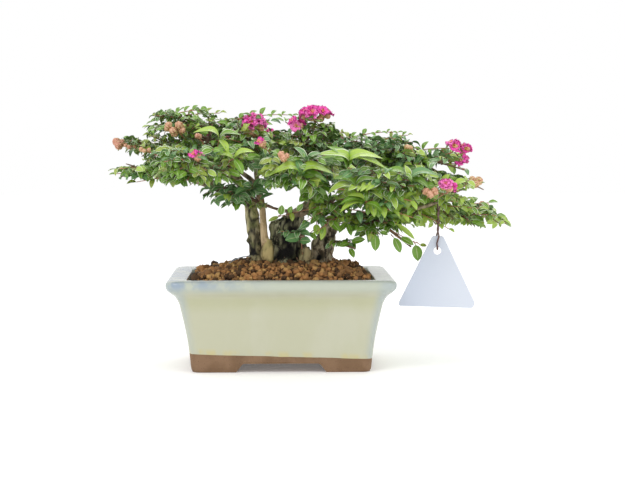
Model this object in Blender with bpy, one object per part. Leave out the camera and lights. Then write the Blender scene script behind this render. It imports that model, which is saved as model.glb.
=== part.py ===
"""A crape myrtle bonsai in a rectangular glazed pot, with a blank hang tag on its tie.

Lengths are written in millimetres and multiplied by MM. The origin is on the table, under the
middle of the whole thing. +X is the plant's right, -Y its front and +Z is up.
"""

import math
import random

import bmesh
import bpy
import numpy as np
from mathutils import Matrix, Vector

MM = 0.001
PLANT = "crape_myrtle_bonsai"
CLEAR = 0.3 * MM              # gap between neighbouring solids
WELD = 0.002 * MM             # points nearer than this are one
SEED = 14
ROUND_STEPS = 16              # sides of a round hole

# ---- pot ---------------------------------------------------------------------------------

POT_X = -33.6 * MM            # the pot stands left of the crown's middle
POT_LONGER = 24.0 * MM        # half length less half depth, at every height
FOOT_HEIGHT = 8.5 * MM
FLOOR_HEIGHT = 15.0 * MM      # inside floor
CORNER_STEPS = 5              # points on each rounded corner

# outside, from the foot up: half length, height, corner radius
POT_OUTSIDE = (
    (86.4, 0.0, 8.0),
    (87.9, 4.0, 8.5),
    (89.3, 17.0, 9.0),
    (91.6, 34.0, 9.5),
    (95.2, 52.0, 10.0),
    (98.6, 63.5, 10.5),
    (99.5, 65.8, 11.0),
    (99.7, 68.3, 11.0),
    (101.4, 71.5, 11.0),
    (105.4, 74.4, 11.5),
    (109.0, 76.2, 12.0),
    (110.9, 79.6, 12.5),
    (111.2, 84.6, 12.5),
    (110.2, 89.0, 12.0),
    (107.4, 91.0, 11.0),
)
# inside, from the rim down
POT_INSIDE = (
    (93.0, 91.0, 8.0),
    (90.8, 89.0, 7.5),
    (89.6, 80.0, 7.0),
    (88.6, 66.0, 7.0),
    (84.0, 34.0, 6.5),
    (80.5, 15.0, 6.0),
)
ARCH_TOP = (37.5 * MM, 21.0 * MM)       # half width between feet at the top: front, side
ARCH_SLANT = 6.5 * MM                   # each foot is this much shorter at the table
ARCH_SPAN = 150.0 * MM                  # half length of the cutters, past the whole pot
DRAIN_RADIUS = 7.0 * MM
DRAIN_X = 45.0 * MM                     # each side of the pot's middle

# ---- soil --------------------------------------------------------------------------------

GROUND = 101.0 * MM                     # flat top of the mound, where the stems stand
# share of the half length and half depth from the edge inwards, with the height there
SOIL_TOP = (
    (1.00, 84.5),
    (0.94, 88.5),
    (0.84, 94.0),
    (0.72, 98.6),
    (0.58, 101.0),
)

# ---- trunk and stems ---------------------------------------------------------------------
# name, base (x, y), tip (x, y, z), bow of the middle (x, y, z), base and tip radius, flare

TRUNKS = (
    ("trunk", (-27, 4), (-25, 6, 151), (0, 0, 0), 17.0, 15.5, 0.26),
    ("trunk_right", (6, -1), (31, 2, 164), (-4, 0, -4), 9.5, 5.2, 0.32),
    ("stem_left", (-58, 4), (-68, 0, 173), (2, 0, 0), 6.4, 4.4, 0.30),
    ("stem_front", (-47, -15), (-56, -7, 179), (1.5, -2, 0), 3.6, 2.9, 0.35),
    ("stump", (-9, -19), (-10, -19, 119), (0, 0, 0), 6.2, 5.2, 0.20),
)
BURL = ((-41, -8, 118), (6.5, 6.0, 10.5))     # pale lump on the trunk: centre, half sizes
TRUNK_SIDES = 12
TRUNK_STEPS = 7
BOUGH_SIDES = 7
BOUGH_STEPS = 4
TRUNK_WANDER = 1.2 * MM
BOUGH_WANDER = 1.4 * MM
LIMB_SWELL = 1.6                        # widest section of a limb, as a share of its radius

# ---- boughs ------------------------------------------------------------------------------
# name, carrier, share of the carrier's length where it leaves, tip, bow, base and tip radius

BOUGHS = (
    ("bough_left_low", "stem_left", 0.97, (-139, -12, 193), (0, 0, -3), 3.9, 2.2),
    ("bough_left_top", "stem_left", 0.97, (-104, 2, 221), (-4, 0, 4), 3.6, 2.2),
    ("bough_left_back", "stem_left", 0.86, (-88, 45, 198), (4, 4, 3), 3.4, 2.0),
    ("bough_left_tip", "bough_left_low", 0.45, (-141, 20, 213), (3, 6, 2), 2.4, 1.7),
    ("bough_left_front", "stem_front", 0.97, (-90, -46, 199), (4, -5, 4), 2.6, 1.7),
    ("bough_left_inner", "stem_front", 0.97, (-65, -9, 216), (2, 0, 0), 2.5, 1.7),
    ("bough_centre_top", "trunk", 0.94, (-8, 1, 213), (19, 3, -6), 4.6, 2.2),
    ("bough_centre_front", "trunk", 0.92, (-14, -46, 190), (21, -4, -4), 3.8, 2.0),
    ("bough_centre_back", "trunk", 0.94, (-13, 46, 196), (16, 4, -4), 4.4, 2.2),
    ("bough_right_top", "trunk_right", 0.97, (46, 5, 206), (-3, 0, 2), 3.8, 2.0),
    ("bough_right_front", "trunk_right", 0.92, (52, -48, 181), (5, -4, -3), 3.6, 1.9),
    ("bough_right_back", "trunk_right", 0.92, (52, 48, 189), (4, 5, -2), 3.6, 1.9),
    ("bough_right_mid", "trunk_right", 0.98, (86, 4, 197), (2, 0, 2), 3.6, 2.0),
    ("bough_right_low", "trunk_right", 0.80, (76, -14, 158), (0, -2, -3), 3.8, 2.2),
    ("bough_right_tip", "bough_right_low", 0.62, (138, 14, 152), (0, 6, -4), 2.8, 1.8),
    ("bough_tag", "bough_right_low", 0.80, (121, -58, 167), (6, -8, -2), 2.2, 1.6),
    ("bough_hanging", "bough_right_low", 0.45, (68, -28, 144), (4, -4, 3), 2.0, 1.5),
    ("bough_cross", "trunk_right", 0.70, (-27, -20, 155), (2, -11, 4), 3.2, 1.8),
)

# ---- foliage masses ----------------------------------------------------------------------
# name, carrier, share of the carrier's length where the stem starts (1 is its tip),
# centre, half sizes, number of leaves

MASSES = (
    ("foliage_left_tip_low", "bough_left_low", 1, (-165, -16, 196), (39.5, 38, 18), 20),
    ("foliage_left_tip_high", "bough_left_tip", 1, (-164, 28, 218), (38, 36, 17), 18),
    ("foliage_left_top", "bough_left_top", 1, (-122, 4, 239), (50, 50, 23), 28),
    ("foliage_left_front", "bough_left_front", 1, (-112, -70, 205), (50, 50, 24), 28),
    ("foliage_left_back", "bough_left_back", 1, (-106, 70, 210), (54, 51, 25), 28),
    ("foliage_left_inner", "bough_left_inner", 1, (-64, -8, 232), (38, 50, 26), 24),
    ("foliage_left_low", "stem_front", 0.78, (-78, -32, 174), (32, 34, 16), 14),
    ("foliage_centre_front", "bough_centre_front", 1, (-16, -70, 197), (52, 50, 25), 28),
    ("foliage_centre_top", "bough_centre_top", 1, (-4, 0, 230), (42, 48, 26), 24),
    ("foliage_centre_back", "bough_centre_back", 1, (-12, 70, 209), (54, 51, 26), 28),
    ("foliage_right_top", "bough_right_top", 1, (58, 4, 216), (48, 50, 22), 26),
    ("foliage_right_front", "bough_right_front", 1, (64, -70, 184), (52, 50, 24), 28),
    ("foliage_right_back", "bough_right_back", 1, (66, 70, 198), (56, 51, 25), 28),
    ("foliage_right_mid", "bough_right_mid", 1, (115, 2, 201), (50, 50, 21), 26),
    ("foliage_right_low", "bough_right_low", 1, (108, -16, 157), (42, 44, 19), 20),
    ("foliage_right_tip", "bough_right_tip", 1, (164, 14, 150), (42, 36, 15), 18),
    ("foliage_tag_shoot", "bough_tag", 1, (138, -60, 180), (36, 34, 16), 14),
    ("foliage_hanging", "bough_hanging", 1, (86, -38, 128), (31, 28, 22), 14),
    ("foliage_right_inner", "trunk_right", 0.78, (16, -36, 164), (30, 30, 18), 12),
    ("foliage_right_under", "trunk_right", 0.62, (56, -30, 144), (34, 28, 16), 12),
    ("foliage_cross", "bough_cross", 1, (-42, -28, 159), (22, 22, 15), 7),
    ("foliage_sprig", "trunk", 0.55, (-16, -38, 131), (20, 20, 15), 8),
    ("foliage_sprig_right", "trunk_right", 0.45, (31, -28, 121), (19, 19, 14), 6),
)
# points that the outline must touch: a twig of that mass ends there in a leaf's tip
REACHES = {
    "foliage_left_tip_low": (-204.3, -10, 194),
    "foliage_right_tip": (204.3, 20, 142),
    "foliage_left_top": (-140, 0, 262),
    "foliage_centre_front": (-20, -120.5, 197),
    "foliage_centre_back": (-16, 121.5, 211),
}
# blossom and buds that show from a step away: mass, kind, place, number of lobes
BLOOMS = (
    ("foliage_left_inner", "blossom", (-60, -30, 240), 4),
    ("foliage_centre_top", "blossom", (3, -22, 240), 5),
    ("foliage_left_low", "blossom", (-104, -36, 179), 2),
    ("foliage_right_mid", "blossom", (150, -8, 207), 3),
    ("foliage_tag_shoot", "blossom", (136, -68, 184), 3),
    ("foliage_left_top", "bud", (-136, -30, 239), 4),
    ("foliage_left_tip_high", "bud", (-190, 14, 219), 3),
    ("foliage_centre_front", "bud", (-26, -92, 210), 3),
    ("foliage_tag_shoot", "bud", (163, -60, 184), 3),
    ("foliage_tag_shoot", "bud", (117, -66, 178), 3),
    ("foliage_left_front", "bud", (-112, -104, 212), 3),
)
LOBE_RADIUS = {"blossom": 6.2 * MM, "bud": 3.7 * MM}
REACH_STRETCH = 1.5           # how far, squared, a reach may leave its mass's ellipsoid

LEAF_LENGTH = (24.0 * MM, 32.0 * MM)
LEAF_WIDTH = 0.56             # share of the length
LEAF_THICK = 0.9 * MM
LEAF_FOLD = 0.22              # how far the edges rise, as a share of the half width
LEAF_DROOP = 0.30             # how far base and tip fall below the middle, share of length
LEAF_BROAD = 0.16             # how far the broadest place lies towards the root
LEAF_DEEP = 0.60              # how far the thickest place lies towards the root
LEAF_ROOT = 0.45 * MM         # how far a leaf's root lies beyond its twig's middle line
LEAF_SPACING = 6.5 * MM
LEAF_APART = 2.9 * MM         # least distance between the leaves of one mass
TWIG_APART = 2.5 * MM
TWIG_SHORTEST = 5.0 * MM
TWIG_BACK = 13.0 * MM         # a twig leaves the stem this far behind its own end
TWIG_CANDIDATES = 260
LEAF_CLEAR = 1.0 * MM         # least distance from a limb
LEAF_TRIES = 6
GROW_TRIES = 4
LEAF_ROOM = 17.0 * MM         # leaves are shorter in masses that are thinner than this
LEAF_STRETCH = 1.25           # how far, squared, leaves may leave their mass's ellipsoid
LEAF_LEAN = 0.55              # how much leaves at the crown's edge face outwards
CROWN_RADIUS = 120.0 * MM
TWIG_RADIUS = 1.15 * MM
TWIG_STEPS = 2
STEM_RADIUS = 2.1 * MM
STEM_STRAIGHT = 4.0 * MM      # a stem goes straight on from its bough's tip for this long
STEM_PAST = 0.45              # how far past the middle of the mass it ends, share of the way
SPREAD_LEVEL = 0.7548777      # steps that deal directions out evenly
SPREAD_TURN = 0.5698403
GOLDEN_ANGLE = 2.39996
SPACE_GAP = 0.5 * MM          # each mass stops this far short of the plane to its neighbour
SPACE_FLAT = 1.8              # how much more height counts than length in sharing the crown

# ---- tag and tie -------------------------------------------------------------------------

TAG_HOLE = (118.3 * MM, -58.0 * MM, 118.0 * MM)
TAG_HOLE_RADIUS = 3.7 * MM
TAG_THICK = 0.8 * MM
TAG_LEAN = math.radians(-1.5)           # it hangs a little askew
TAG_APEX_HALF = 5.2 * MM                # the blunt top corner
TAG_ABOVE_HOLE = 14.5 * MM
TAG_BELOW_HOLE = 55.0 * MM
TAG_BASE_HALF = 37.2 * MM
TAG_FOOT = 5.0 * MM                     # short upright ends of the bottom edge
TIE_RADIUS = 0.75 * MM
TIE_NARROW = 1.9 * MM                   # half width of the loop at the tag
TIE_TURN = 5                            # points round each end of the loop

COLOURS = {
    "glaze": ((0.61, 0.60, 0.44), 0.16),
    "soil": ((0.23, 0.10, 0.05), 0.95),
    "bark": ((0.24, 0.17, 0.10), 0.85),
    "foliage": ((0.07, 0.17, 0.04), 0.45),
    "tag": ((0.78, 0.78, 0.83), 0.35),
    "tie": ((0.10, 0.05, 0.04), 0.70),
}


# ---- shared modelling helpers ------------------------------------------------------------

def clear_scene():
    """Remove whatever the start-up file holds."""
    for old in list(bpy.data.objects):
        bpy.data.objects.remove(old, do_unlink=True)


def material(name):
    """The Principled material of that name, made at its first use."""
    if name in bpy.data.materials:
        return bpy.data.materials[name]
    colour, roughness = COLOURS[name]
    made = bpy.data.materials.new(name)
    made.use_nodes = True
    shader = made.node_tree.nodes["Principled BSDF"]
    shader.inputs["Base Color"].default_value = (*colour, 1.0)
    shader.inputs["Roughness"].default_value = roughness
    shader.inputs["Metallic"].default_value = 0.0
    return made


def plant_collection():
    """The collection that holds every part of the plant, made at its first use."""
    if PLANT not in bpy.data.collections:
        bpy.context.scene.collection.children.link(bpy.data.collections.new(PLANT))
    return bpy.data.collections[PLANT]


def add_object(name, bm, surface=None, collection=None):
    """Turn a bmesh into an object with its normals outwards."""
    bmesh.ops.recalc_face_normals(bm, faces=bm.faces)
    mesh = bpy.data.meshes.new(name)
    bm.to_mesh(mesh)
    bm.free()
    made = bpy.data.objects.new(name, mesh)
    (collection or plant_collection()).objects.link(made)
    if surface:
        mesh.materials.append(material(surface))
    return made


def finished_mesh(obj):
    """The mesh with its modifiers worked out and its coincident points welded."""
    bpy.context.view_layer.update()
    result = obj.evaluated_get(bpy.context.evaluated_depsgraph_get())
    mesh = bpy.data.meshes.new_from_object(result)
    bm = bmesh.new()
    bm.from_mesh(mesh)
    bmesh.ops.remove_doubles(bm, verts=bm.verts, dist=WELD)
    bmesh.ops.dissolve_degenerate(bm, edges=bm.edges, dist=WELD)
    bm.to_mesh(mesh)
    closed = all(len(edge.link_faces) == 2 for edge in bm.edges)
    bm.free()
    return mesh, closed


def join(obj, operation, other):
    """Boolean with an object or a collection, applied; says whether the result is closed."""
    modifier = obj.modifiers.new(operation, "BOOLEAN")
    modifier.operation = operation
    if isinstance(other, bpy.types.Collection):
        modifier.operand_type = "COLLECTION"
        modifier.collection = other
        used = list(other.objects)
    else:
        modifier.object = other
        used = [other]
    for solver in ("EXACT", "MANIFOLD"):
        modifier.solver = solver
        mesh, closed = finished_mesh(obj)
        if closed:
            break
    obj.modifiers.clear()
    obj.data = mesh
    for operand in used:
        bpy.data.objects.remove(operand, do_unlink=True)
    if isinstance(other, bpy.types.Collection):
        bpy.data.collections.remove(other)
    return closed


def keep_largest(obj):
    """Drop the loose scraps that a Boolean leaves beside the main body."""
    bm = bmesh.new()
    bm.from_mesh(obj.data)
    bmesh.ops.triangulate(bm, faces=bm.faces)
    left = set(bm.faces)
    shells = []
    while left:
        shell = {left.pop()}
        border = list(shell)
        while border:
            face = border.pop()
            near = {f for edge in face.edges for f in edge.link_faces} & left
            left -= near
            shell |= near
            border.extend(near)
        shells.append(shell)
    shells.sort(key=len)
    scraps = [face for shell in shells[:-1] for face in shell]
    bmesh.ops.delete(bm, geom=scraps, context="FACES")
    bm.to_mesh(obj.data)
    bm.free()


def loft(rings):
    """A closed skin through rings of equally many points, made by extruding the first."""
    bm = bmesh.new()
    face = bm.faces.new([bm.verts.new(point) for point in rings[0]])
    for index, ring in enumerate(rings[1:]):
        grown = bmesh.ops.extrude_face_region(bm, geom=[face])["geom"]
        if index:
            bmesh.ops.delete(bm, geom=[face], context="FACES_ONLY")
        face = next(part for part in grown if isinstance(part, bmesh.types.BMFace))
        for vert, point in zip(face.verts, ring):
            vert.co = point
    return bm


def tube(path, radii, sides, level_start=False, lobes=None):
    """Rings along a path. lobes(share of the length, angle) swells the section."""
    last = len(path) - 1
    side = Vector((1.0, 0.25, 0.1))
    rings = []
    for index, (point, radius) in enumerate(zip(path, radii)):
        ahead = (path[min(index + 1, last)] - path[max(index - 1, 0)]).normalized()
        if level_start and index == 0:
            ahead = Vector((0.0, 0.0, 1.0))
        side = (side - ahead * side.dot(ahead)).normalized()
        across = ahead.cross(side)
        ring = []
        for step in range(sides):
            angle = math.tau * step / sides
            reach = radius * (lobes(index / last, angle) if lobes else 1.0)
            ring.append(point + (side * math.cos(angle) + across * math.sin(angle)) * reach)
        rings.append(ring)
    return loft(rings)


def bowed(start, tip, bow, steps, gnarl=0.0, phase=0.0):
    """Points from start to tip whose middle is moved by bow, with a seeded wander."""
    path = []
    for index in range(steps + 1):
        share = index / steps
        swell = 4.0 * share * (1.0 - share)
        wander = Vector((math.sin(5.1 * share + phase), math.cos(4.3 * share + phase), 0.0))
        path.append(start.lerp(tip, share) + (bow + wander * gnarl) * swell)
    return path


def mm(values):
    """A vector from millimetres."""
    return Vector(values) * MM


# ---- pot and soil ------------------------------------------------------------------------

def rounded_ring(half_length, height, corner, steps=CORNER_STEPS):
    """Points round a rectangle with rounded corners, level at a height."""
    half_depth = half_length - POT_LONGER
    ring = []
    for quarter in range(4):
        sign_x = 1 if quarter in (0, 3) else -1
        sign_y = 1 if quarter in (0, 1) else -1
        for step in range(steps):
            angle = math.radians(90.0) * (quarter + step / (steps - 1))
            ring.append(Vector((
                POT_X + sign_x * (half_length - corner) + corner * math.cos(angle),
                sign_y * (half_depth - corner) + corner * math.sin(angle),
                height)))
    return ring


def arch(half_top, span, along_y):
    """The cutter for the gap between two feet: it reaches as far below the table as above."""
    bm = bmesh.new()
    bmesh.ops.create_cube(bm, size=2.0)
    for vert in bm.verts:
        wide = half_top + (2.0 * ARCH_SLANT if vert.co.z < 0 else 0.0)
        reach = (wide, span) if along_y else (span, wide)
        height = vert.co.z * FOOT_HEIGHT
        vert.co = Vector((POT_X + vert.co.x * reach[0], vert.co.y * reach[1], height))
    return add_object("arch", bm)


def make_pot():
    """The pot: one skin up the outside, over the rim and down to the inside floor."""
    rings = [rounded_ring(*(value * MM for value in row)) for row in POT_OUTSIDE + POT_INSIDE]
    pot = add_object("pot", loft(rings), "glaze")
    join(pot, "DIFFERENCE", arch(ARCH_TOP[0], ARCH_SPAN, True))
    join(pot, "DIFFERENCE", arch(ARCH_TOP[1], ARCH_SPAN, False))
    for side in (-1, 1):
        drain = bmesh.new()
        bmesh.ops.create_cone(
            drain, cap_ends=True, segments=ROUND_STEPS, radius1=DRAIN_RADIUS, radius2=DRAIN_RADIUS,
            depth=4 * FLOOR_HEIGHT,
            matrix=Matrix.Translation((POT_X + side * DRAIN_X, 0.0, FLOOR_HEIGHT)))
        join(pot, "DIFFERENCE", add_object("drain", drain))
    return pot


def make_soil():
    """The soil: it fills the pot inside and is mounded to a flat top round the stems."""
    rings = []
    for half_length, height, corner in reversed(POT_INSIDE[3:]):
        rings.append(rounded_ring(half_length * MM - CLEAR, height * MM, corner * MM))
    rings[0] = [point + Vector((0.0, 0.0, CLEAR)) for point in rings[0]]
    edge_half = POT_INSIDE[2][0] * MM - CLEAR
    for share, height in SOIL_TOP:
        ring = []
        for point in rounded_ring(edge_half, height * MM, POT_INSIDE[2][2] * MM):
            inward = Vector((POT_X + (point.x - POT_X) * share, point.y * share, point.z))
            ring.append(inward)
        rings.append(ring)
    return add_object("soil", loft(rings), "soil")


# ---- limbs -------------------------------------------------------------------------------

class Limb:
    """A trunk, stem or bough: its centre line, its radii and its solid."""

    def __init__(self, name, path, radii, sides, rooted=False, flare=0.0):
        self.name = name
        self.path = path
        self.radii = radii
        self.sides = sides
        self.rooted = rooted
        self.flare = flare
        self.phase = 0.7 * len(name)

    def section(self, share, angle):
        """Root flare and fluting, strongest at the ground."""
        low = (1.0 - share) ** 3
        flutes = 0.5 * math.cos(3 * angle + self.phase) + 0.3 * math.cos(5 * angle - self.phase)
        return 1.0 + self.flare * low * (1.0 + 0.45 * flutes) + 0.05 * self.flare * flutes

    def solid(self, grow=0.0, name=None):
        """The limb as an object, or a copy made larger all round by grow."""
        path = [point.copy() for point in self.path]
        if grow:
            path[0] -= (path[1] - path[0]).normalized() * grow
            path[-1] += (path[-1] - path[-2]).normalized() * grow
        radii = [radius + grow for radius in self.radii]
        section = self.section if self.flare else None
        bm = tube(path, radii, self.sides, self.rooted, section)
        return add_object(name or self.name, bm, "bark")

    def at(self, share):
        """The point on the centre line at a share of its length."""
        place = share * (len(self.path) - 1)
        index = min(int(place), len(self.path) - 2)
        return self.path[index].lerp(self.path[index + 1], place - index)

    def heading(self):
        """The way that the tip points."""
        return (self.path[-1] - self.path[-2]).normalized()


def taper(base, tip, steps):
    """Radii that shrink evenly from base to tip."""
    return [(base + (tip - base) * index / steps) * MM for index in range(steps + 1)]


def plan_limbs():
    """Work out every limb's line and radii, carriers first."""
    limbs = {}
    for name, foot, tip, bow, base_radius, tip_radius, flare in TRUNKS:
        start = Vector((foot[0] * MM, foot[1] * MM, GROUND + CLEAR))
        path = bowed(start, mm(tip), mm(bow), TRUNK_STEPS, TRUNK_WANDER, len(limbs))
        radii = taper(base_radius, tip_radius, TRUNK_STEPS)
        limbs[name] = Limb(name, path, radii, TRUNK_SIDES, True, flare)
    for name, carrier, share, tip, bow, base_radius, tip_radius in BOUGHS:
        start = limbs[carrier].at(share)
        path = bowed(start, mm(tip), mm(bow), BOUGH_STEPS, BOUGH_WANDER, len(limbs))
        limbs[name] = Limb(name, path, taper(base_radius, tip_radius, BOUGH_STEPS), BOUGH_SIDES)
    return limbs


def boxes_meet(first, second, margin):
    """Whether the boxes round two limbs overlap."""
    for axis in range(3):
        low, high = [], []
        for limb in (first, second):
            reach = max(limb.radii) * LIMB_SWELL
            low.append(min(point[axis] for point in limb.path) - reach)
            high.append(max(point[axis] for point in limb.path) + reach)
        if low[0] > high[1] + margin or low[1] > high[0] + margin:
            return False
    return True


def burl(grow=0.0):
    """The pale lump low on the trunk's left."""
    centre, half = BURL
    bm = bmesh.new()
    bmesh.ops.create_icosphere(bm, subdivisions=2, radius=1.0)
    for vert in bm.verts:
        reach = [vert.co[axis] * (half[axis] * MM + grow) for axis in range(3)]
        vert.co = mm(centre) + Vector(reach)
    return add_object("burl", bm)


def make_limbs(limbs):
    """Each limb is cut clear of the limbs before it, so that joints are snug but apart."""
    done = []
    for limb in limbs.values():
        solid = limb.solid()
        if limb.name == "trunk":
            join(solid, "UNION", burl())
        for earlier in done:
            if boxes_meet(limb, earlier, CLEAR):
                join(solid, "DIFFERENCE", earlier.solid(CLEAR, "cutter"))
                if earlier.name == "trunk":
                    join(solid, "DIFFERENCE", burl(CLEAR))
        keep_largest(solid)
        done.append(limb)


# ---- foliage -----------------------------------------------------------------------------

class Space:
    """The room of one mass: an ellipsoid, less what lies nearer to a neighbour."""

    def __init__(self, name, centre, half):
        self.name = name
        self.centre = np.array(centre) * MM
        self.half = np.array(half) * MM
        self.flat = np.array((1.0, 1.0, SPACE_FLAT))
        self.weight = np.mean((self.half * self.flat) ** 2)

    def nearness(self, points):
        """Power of points to this space: the lowest owner has the point."""
        return (((points - self.centre) * self.flat) ** 2).sum(axis=1) - self.weight

    def holds(self, points, others, stretch=1.0):
        """Whether all points are in the ellipsoid and clear of the neighbours' rooms."""
        points = np.asarray(points)
        if ((((points - self.centre) / self.half) ** 2).sum(axis=1) > stretch).any():
            return False
        own = self.nearness(points)
        for other in others:
            if other is self:
                continue
            apart = np.linalg.norm((self.centre - other.centre) * self.flat)
            if (other.nearness(points) - own < 2.0 * apart * SPACE_GAP * SPACE_FLAT).any():
                return False
        return True


class Obstacles:
    """All limbs as short straight lengths, for asking how near a twig or leaf comes."""

    def __init__(self, limbs):
        starts, ends, radii = [], [], []
        for limb in limbs:
            swell = 1.0 + 1.2 * limb.flare
            for index in range(len(limb.path) - 1):
                starts.append(limb.path[index])
                ends.append(limb.path[index + 1])
                radii.append(max(limb.radii[index], limb.radii[index + 1]) * swell)
        self.starts = np.array(starts)
        self.spans = np.array(ends) - self.starts
        self.radii = np.array(radii)

    def clear(self, points, margin):
        """Whether every point is farther than margin from every limb's surface."""
        points = np.asarray(points)[:, None, :]
        along = ((points - self.starts) * self.spans).sum(axis=2)
        along = np.clip(along / (self.spans ** 2).sum(axis=1), 0.0, 1.0)
        nearest = self.starts + self.spans * along[..., None]
        gaps = np.linalg.norm(points - nearest, axis=2) - self.radii
        return bool((gaps > margin).all())


def leaf_frame(direction, normal):
    """Rotation that lays a leaf's length along a direction, facing a normal."""
    length = direction.normalized()
    across = normal.cross(length).normalized()
    return Matrix((length, across, length.cross(across))).transposed()


def leaf_point(unit, root, frame, length):
    """Where a point of the eight-faced unit leaf goes: folded, drooping, at its root."""
    fold = LEAF_FOLD * LEAF_WIDTH * length * abs(unit.y)
    droop = LEAF_DROOP * length * (unit.x * unit.x - 0.25)
    back = (LEAF_BROAD * abs(unit.y) + LEAF_DEEP * abs(unit.z)) * length
    local = Vector((
        (unit.x + 0.5) * length - back - LEAF_ROOT,
        unit.y * LEAF_WIDTH * length,
        unit.z * LEAF_THICK + fold - droop))
    return root + frame @ local


UNIT_TIPS = [Vector(tip) * 0.5 for tip in (
    (1, 0, 0), (-1, 0, 0), (0, 1, 0), (0, -1, 0), (0, 0, 1), (0, 0, -1))]


def leaf_samples(root, frame, length):
    """Points all over a leaf, for the tests of room."""
    samples = []
    for along in (-0.3, -0.1, 0.1, 0.3, 0.5):
        for across in (-1.0, 0.0, 1.0):
            unit = Vector((along, across * (0.5 - abs(along)), 0.0))
            samples.append(leaf_point(unit, root, frame, length))
    return samples


def add_leaf(root, frame, length, parts):
    """One leaf solid of eight faces."""
    bm = bmesh.new()
    bmesh.ops.create_uvsphere(bm, u_segments=4, v_segments=2, radius=0.5)
    for vert in bm.verts:
        vert.co = leaf_point(vert.co.copy(), root, frame, length)
    add_object("leaf", bm, None, parts)


def add_lobe(centre, radius, parts):
    """One faceted lobe of a blossom head, or one bud."""
    bm = bmesh.new()
    bmesh.ops.create_icosphere(
        bm, subdivisions=1, radius=radius, matrix=Matrix.Translation(centre))
    add_object("lobe", bm, None, parts)


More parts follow.
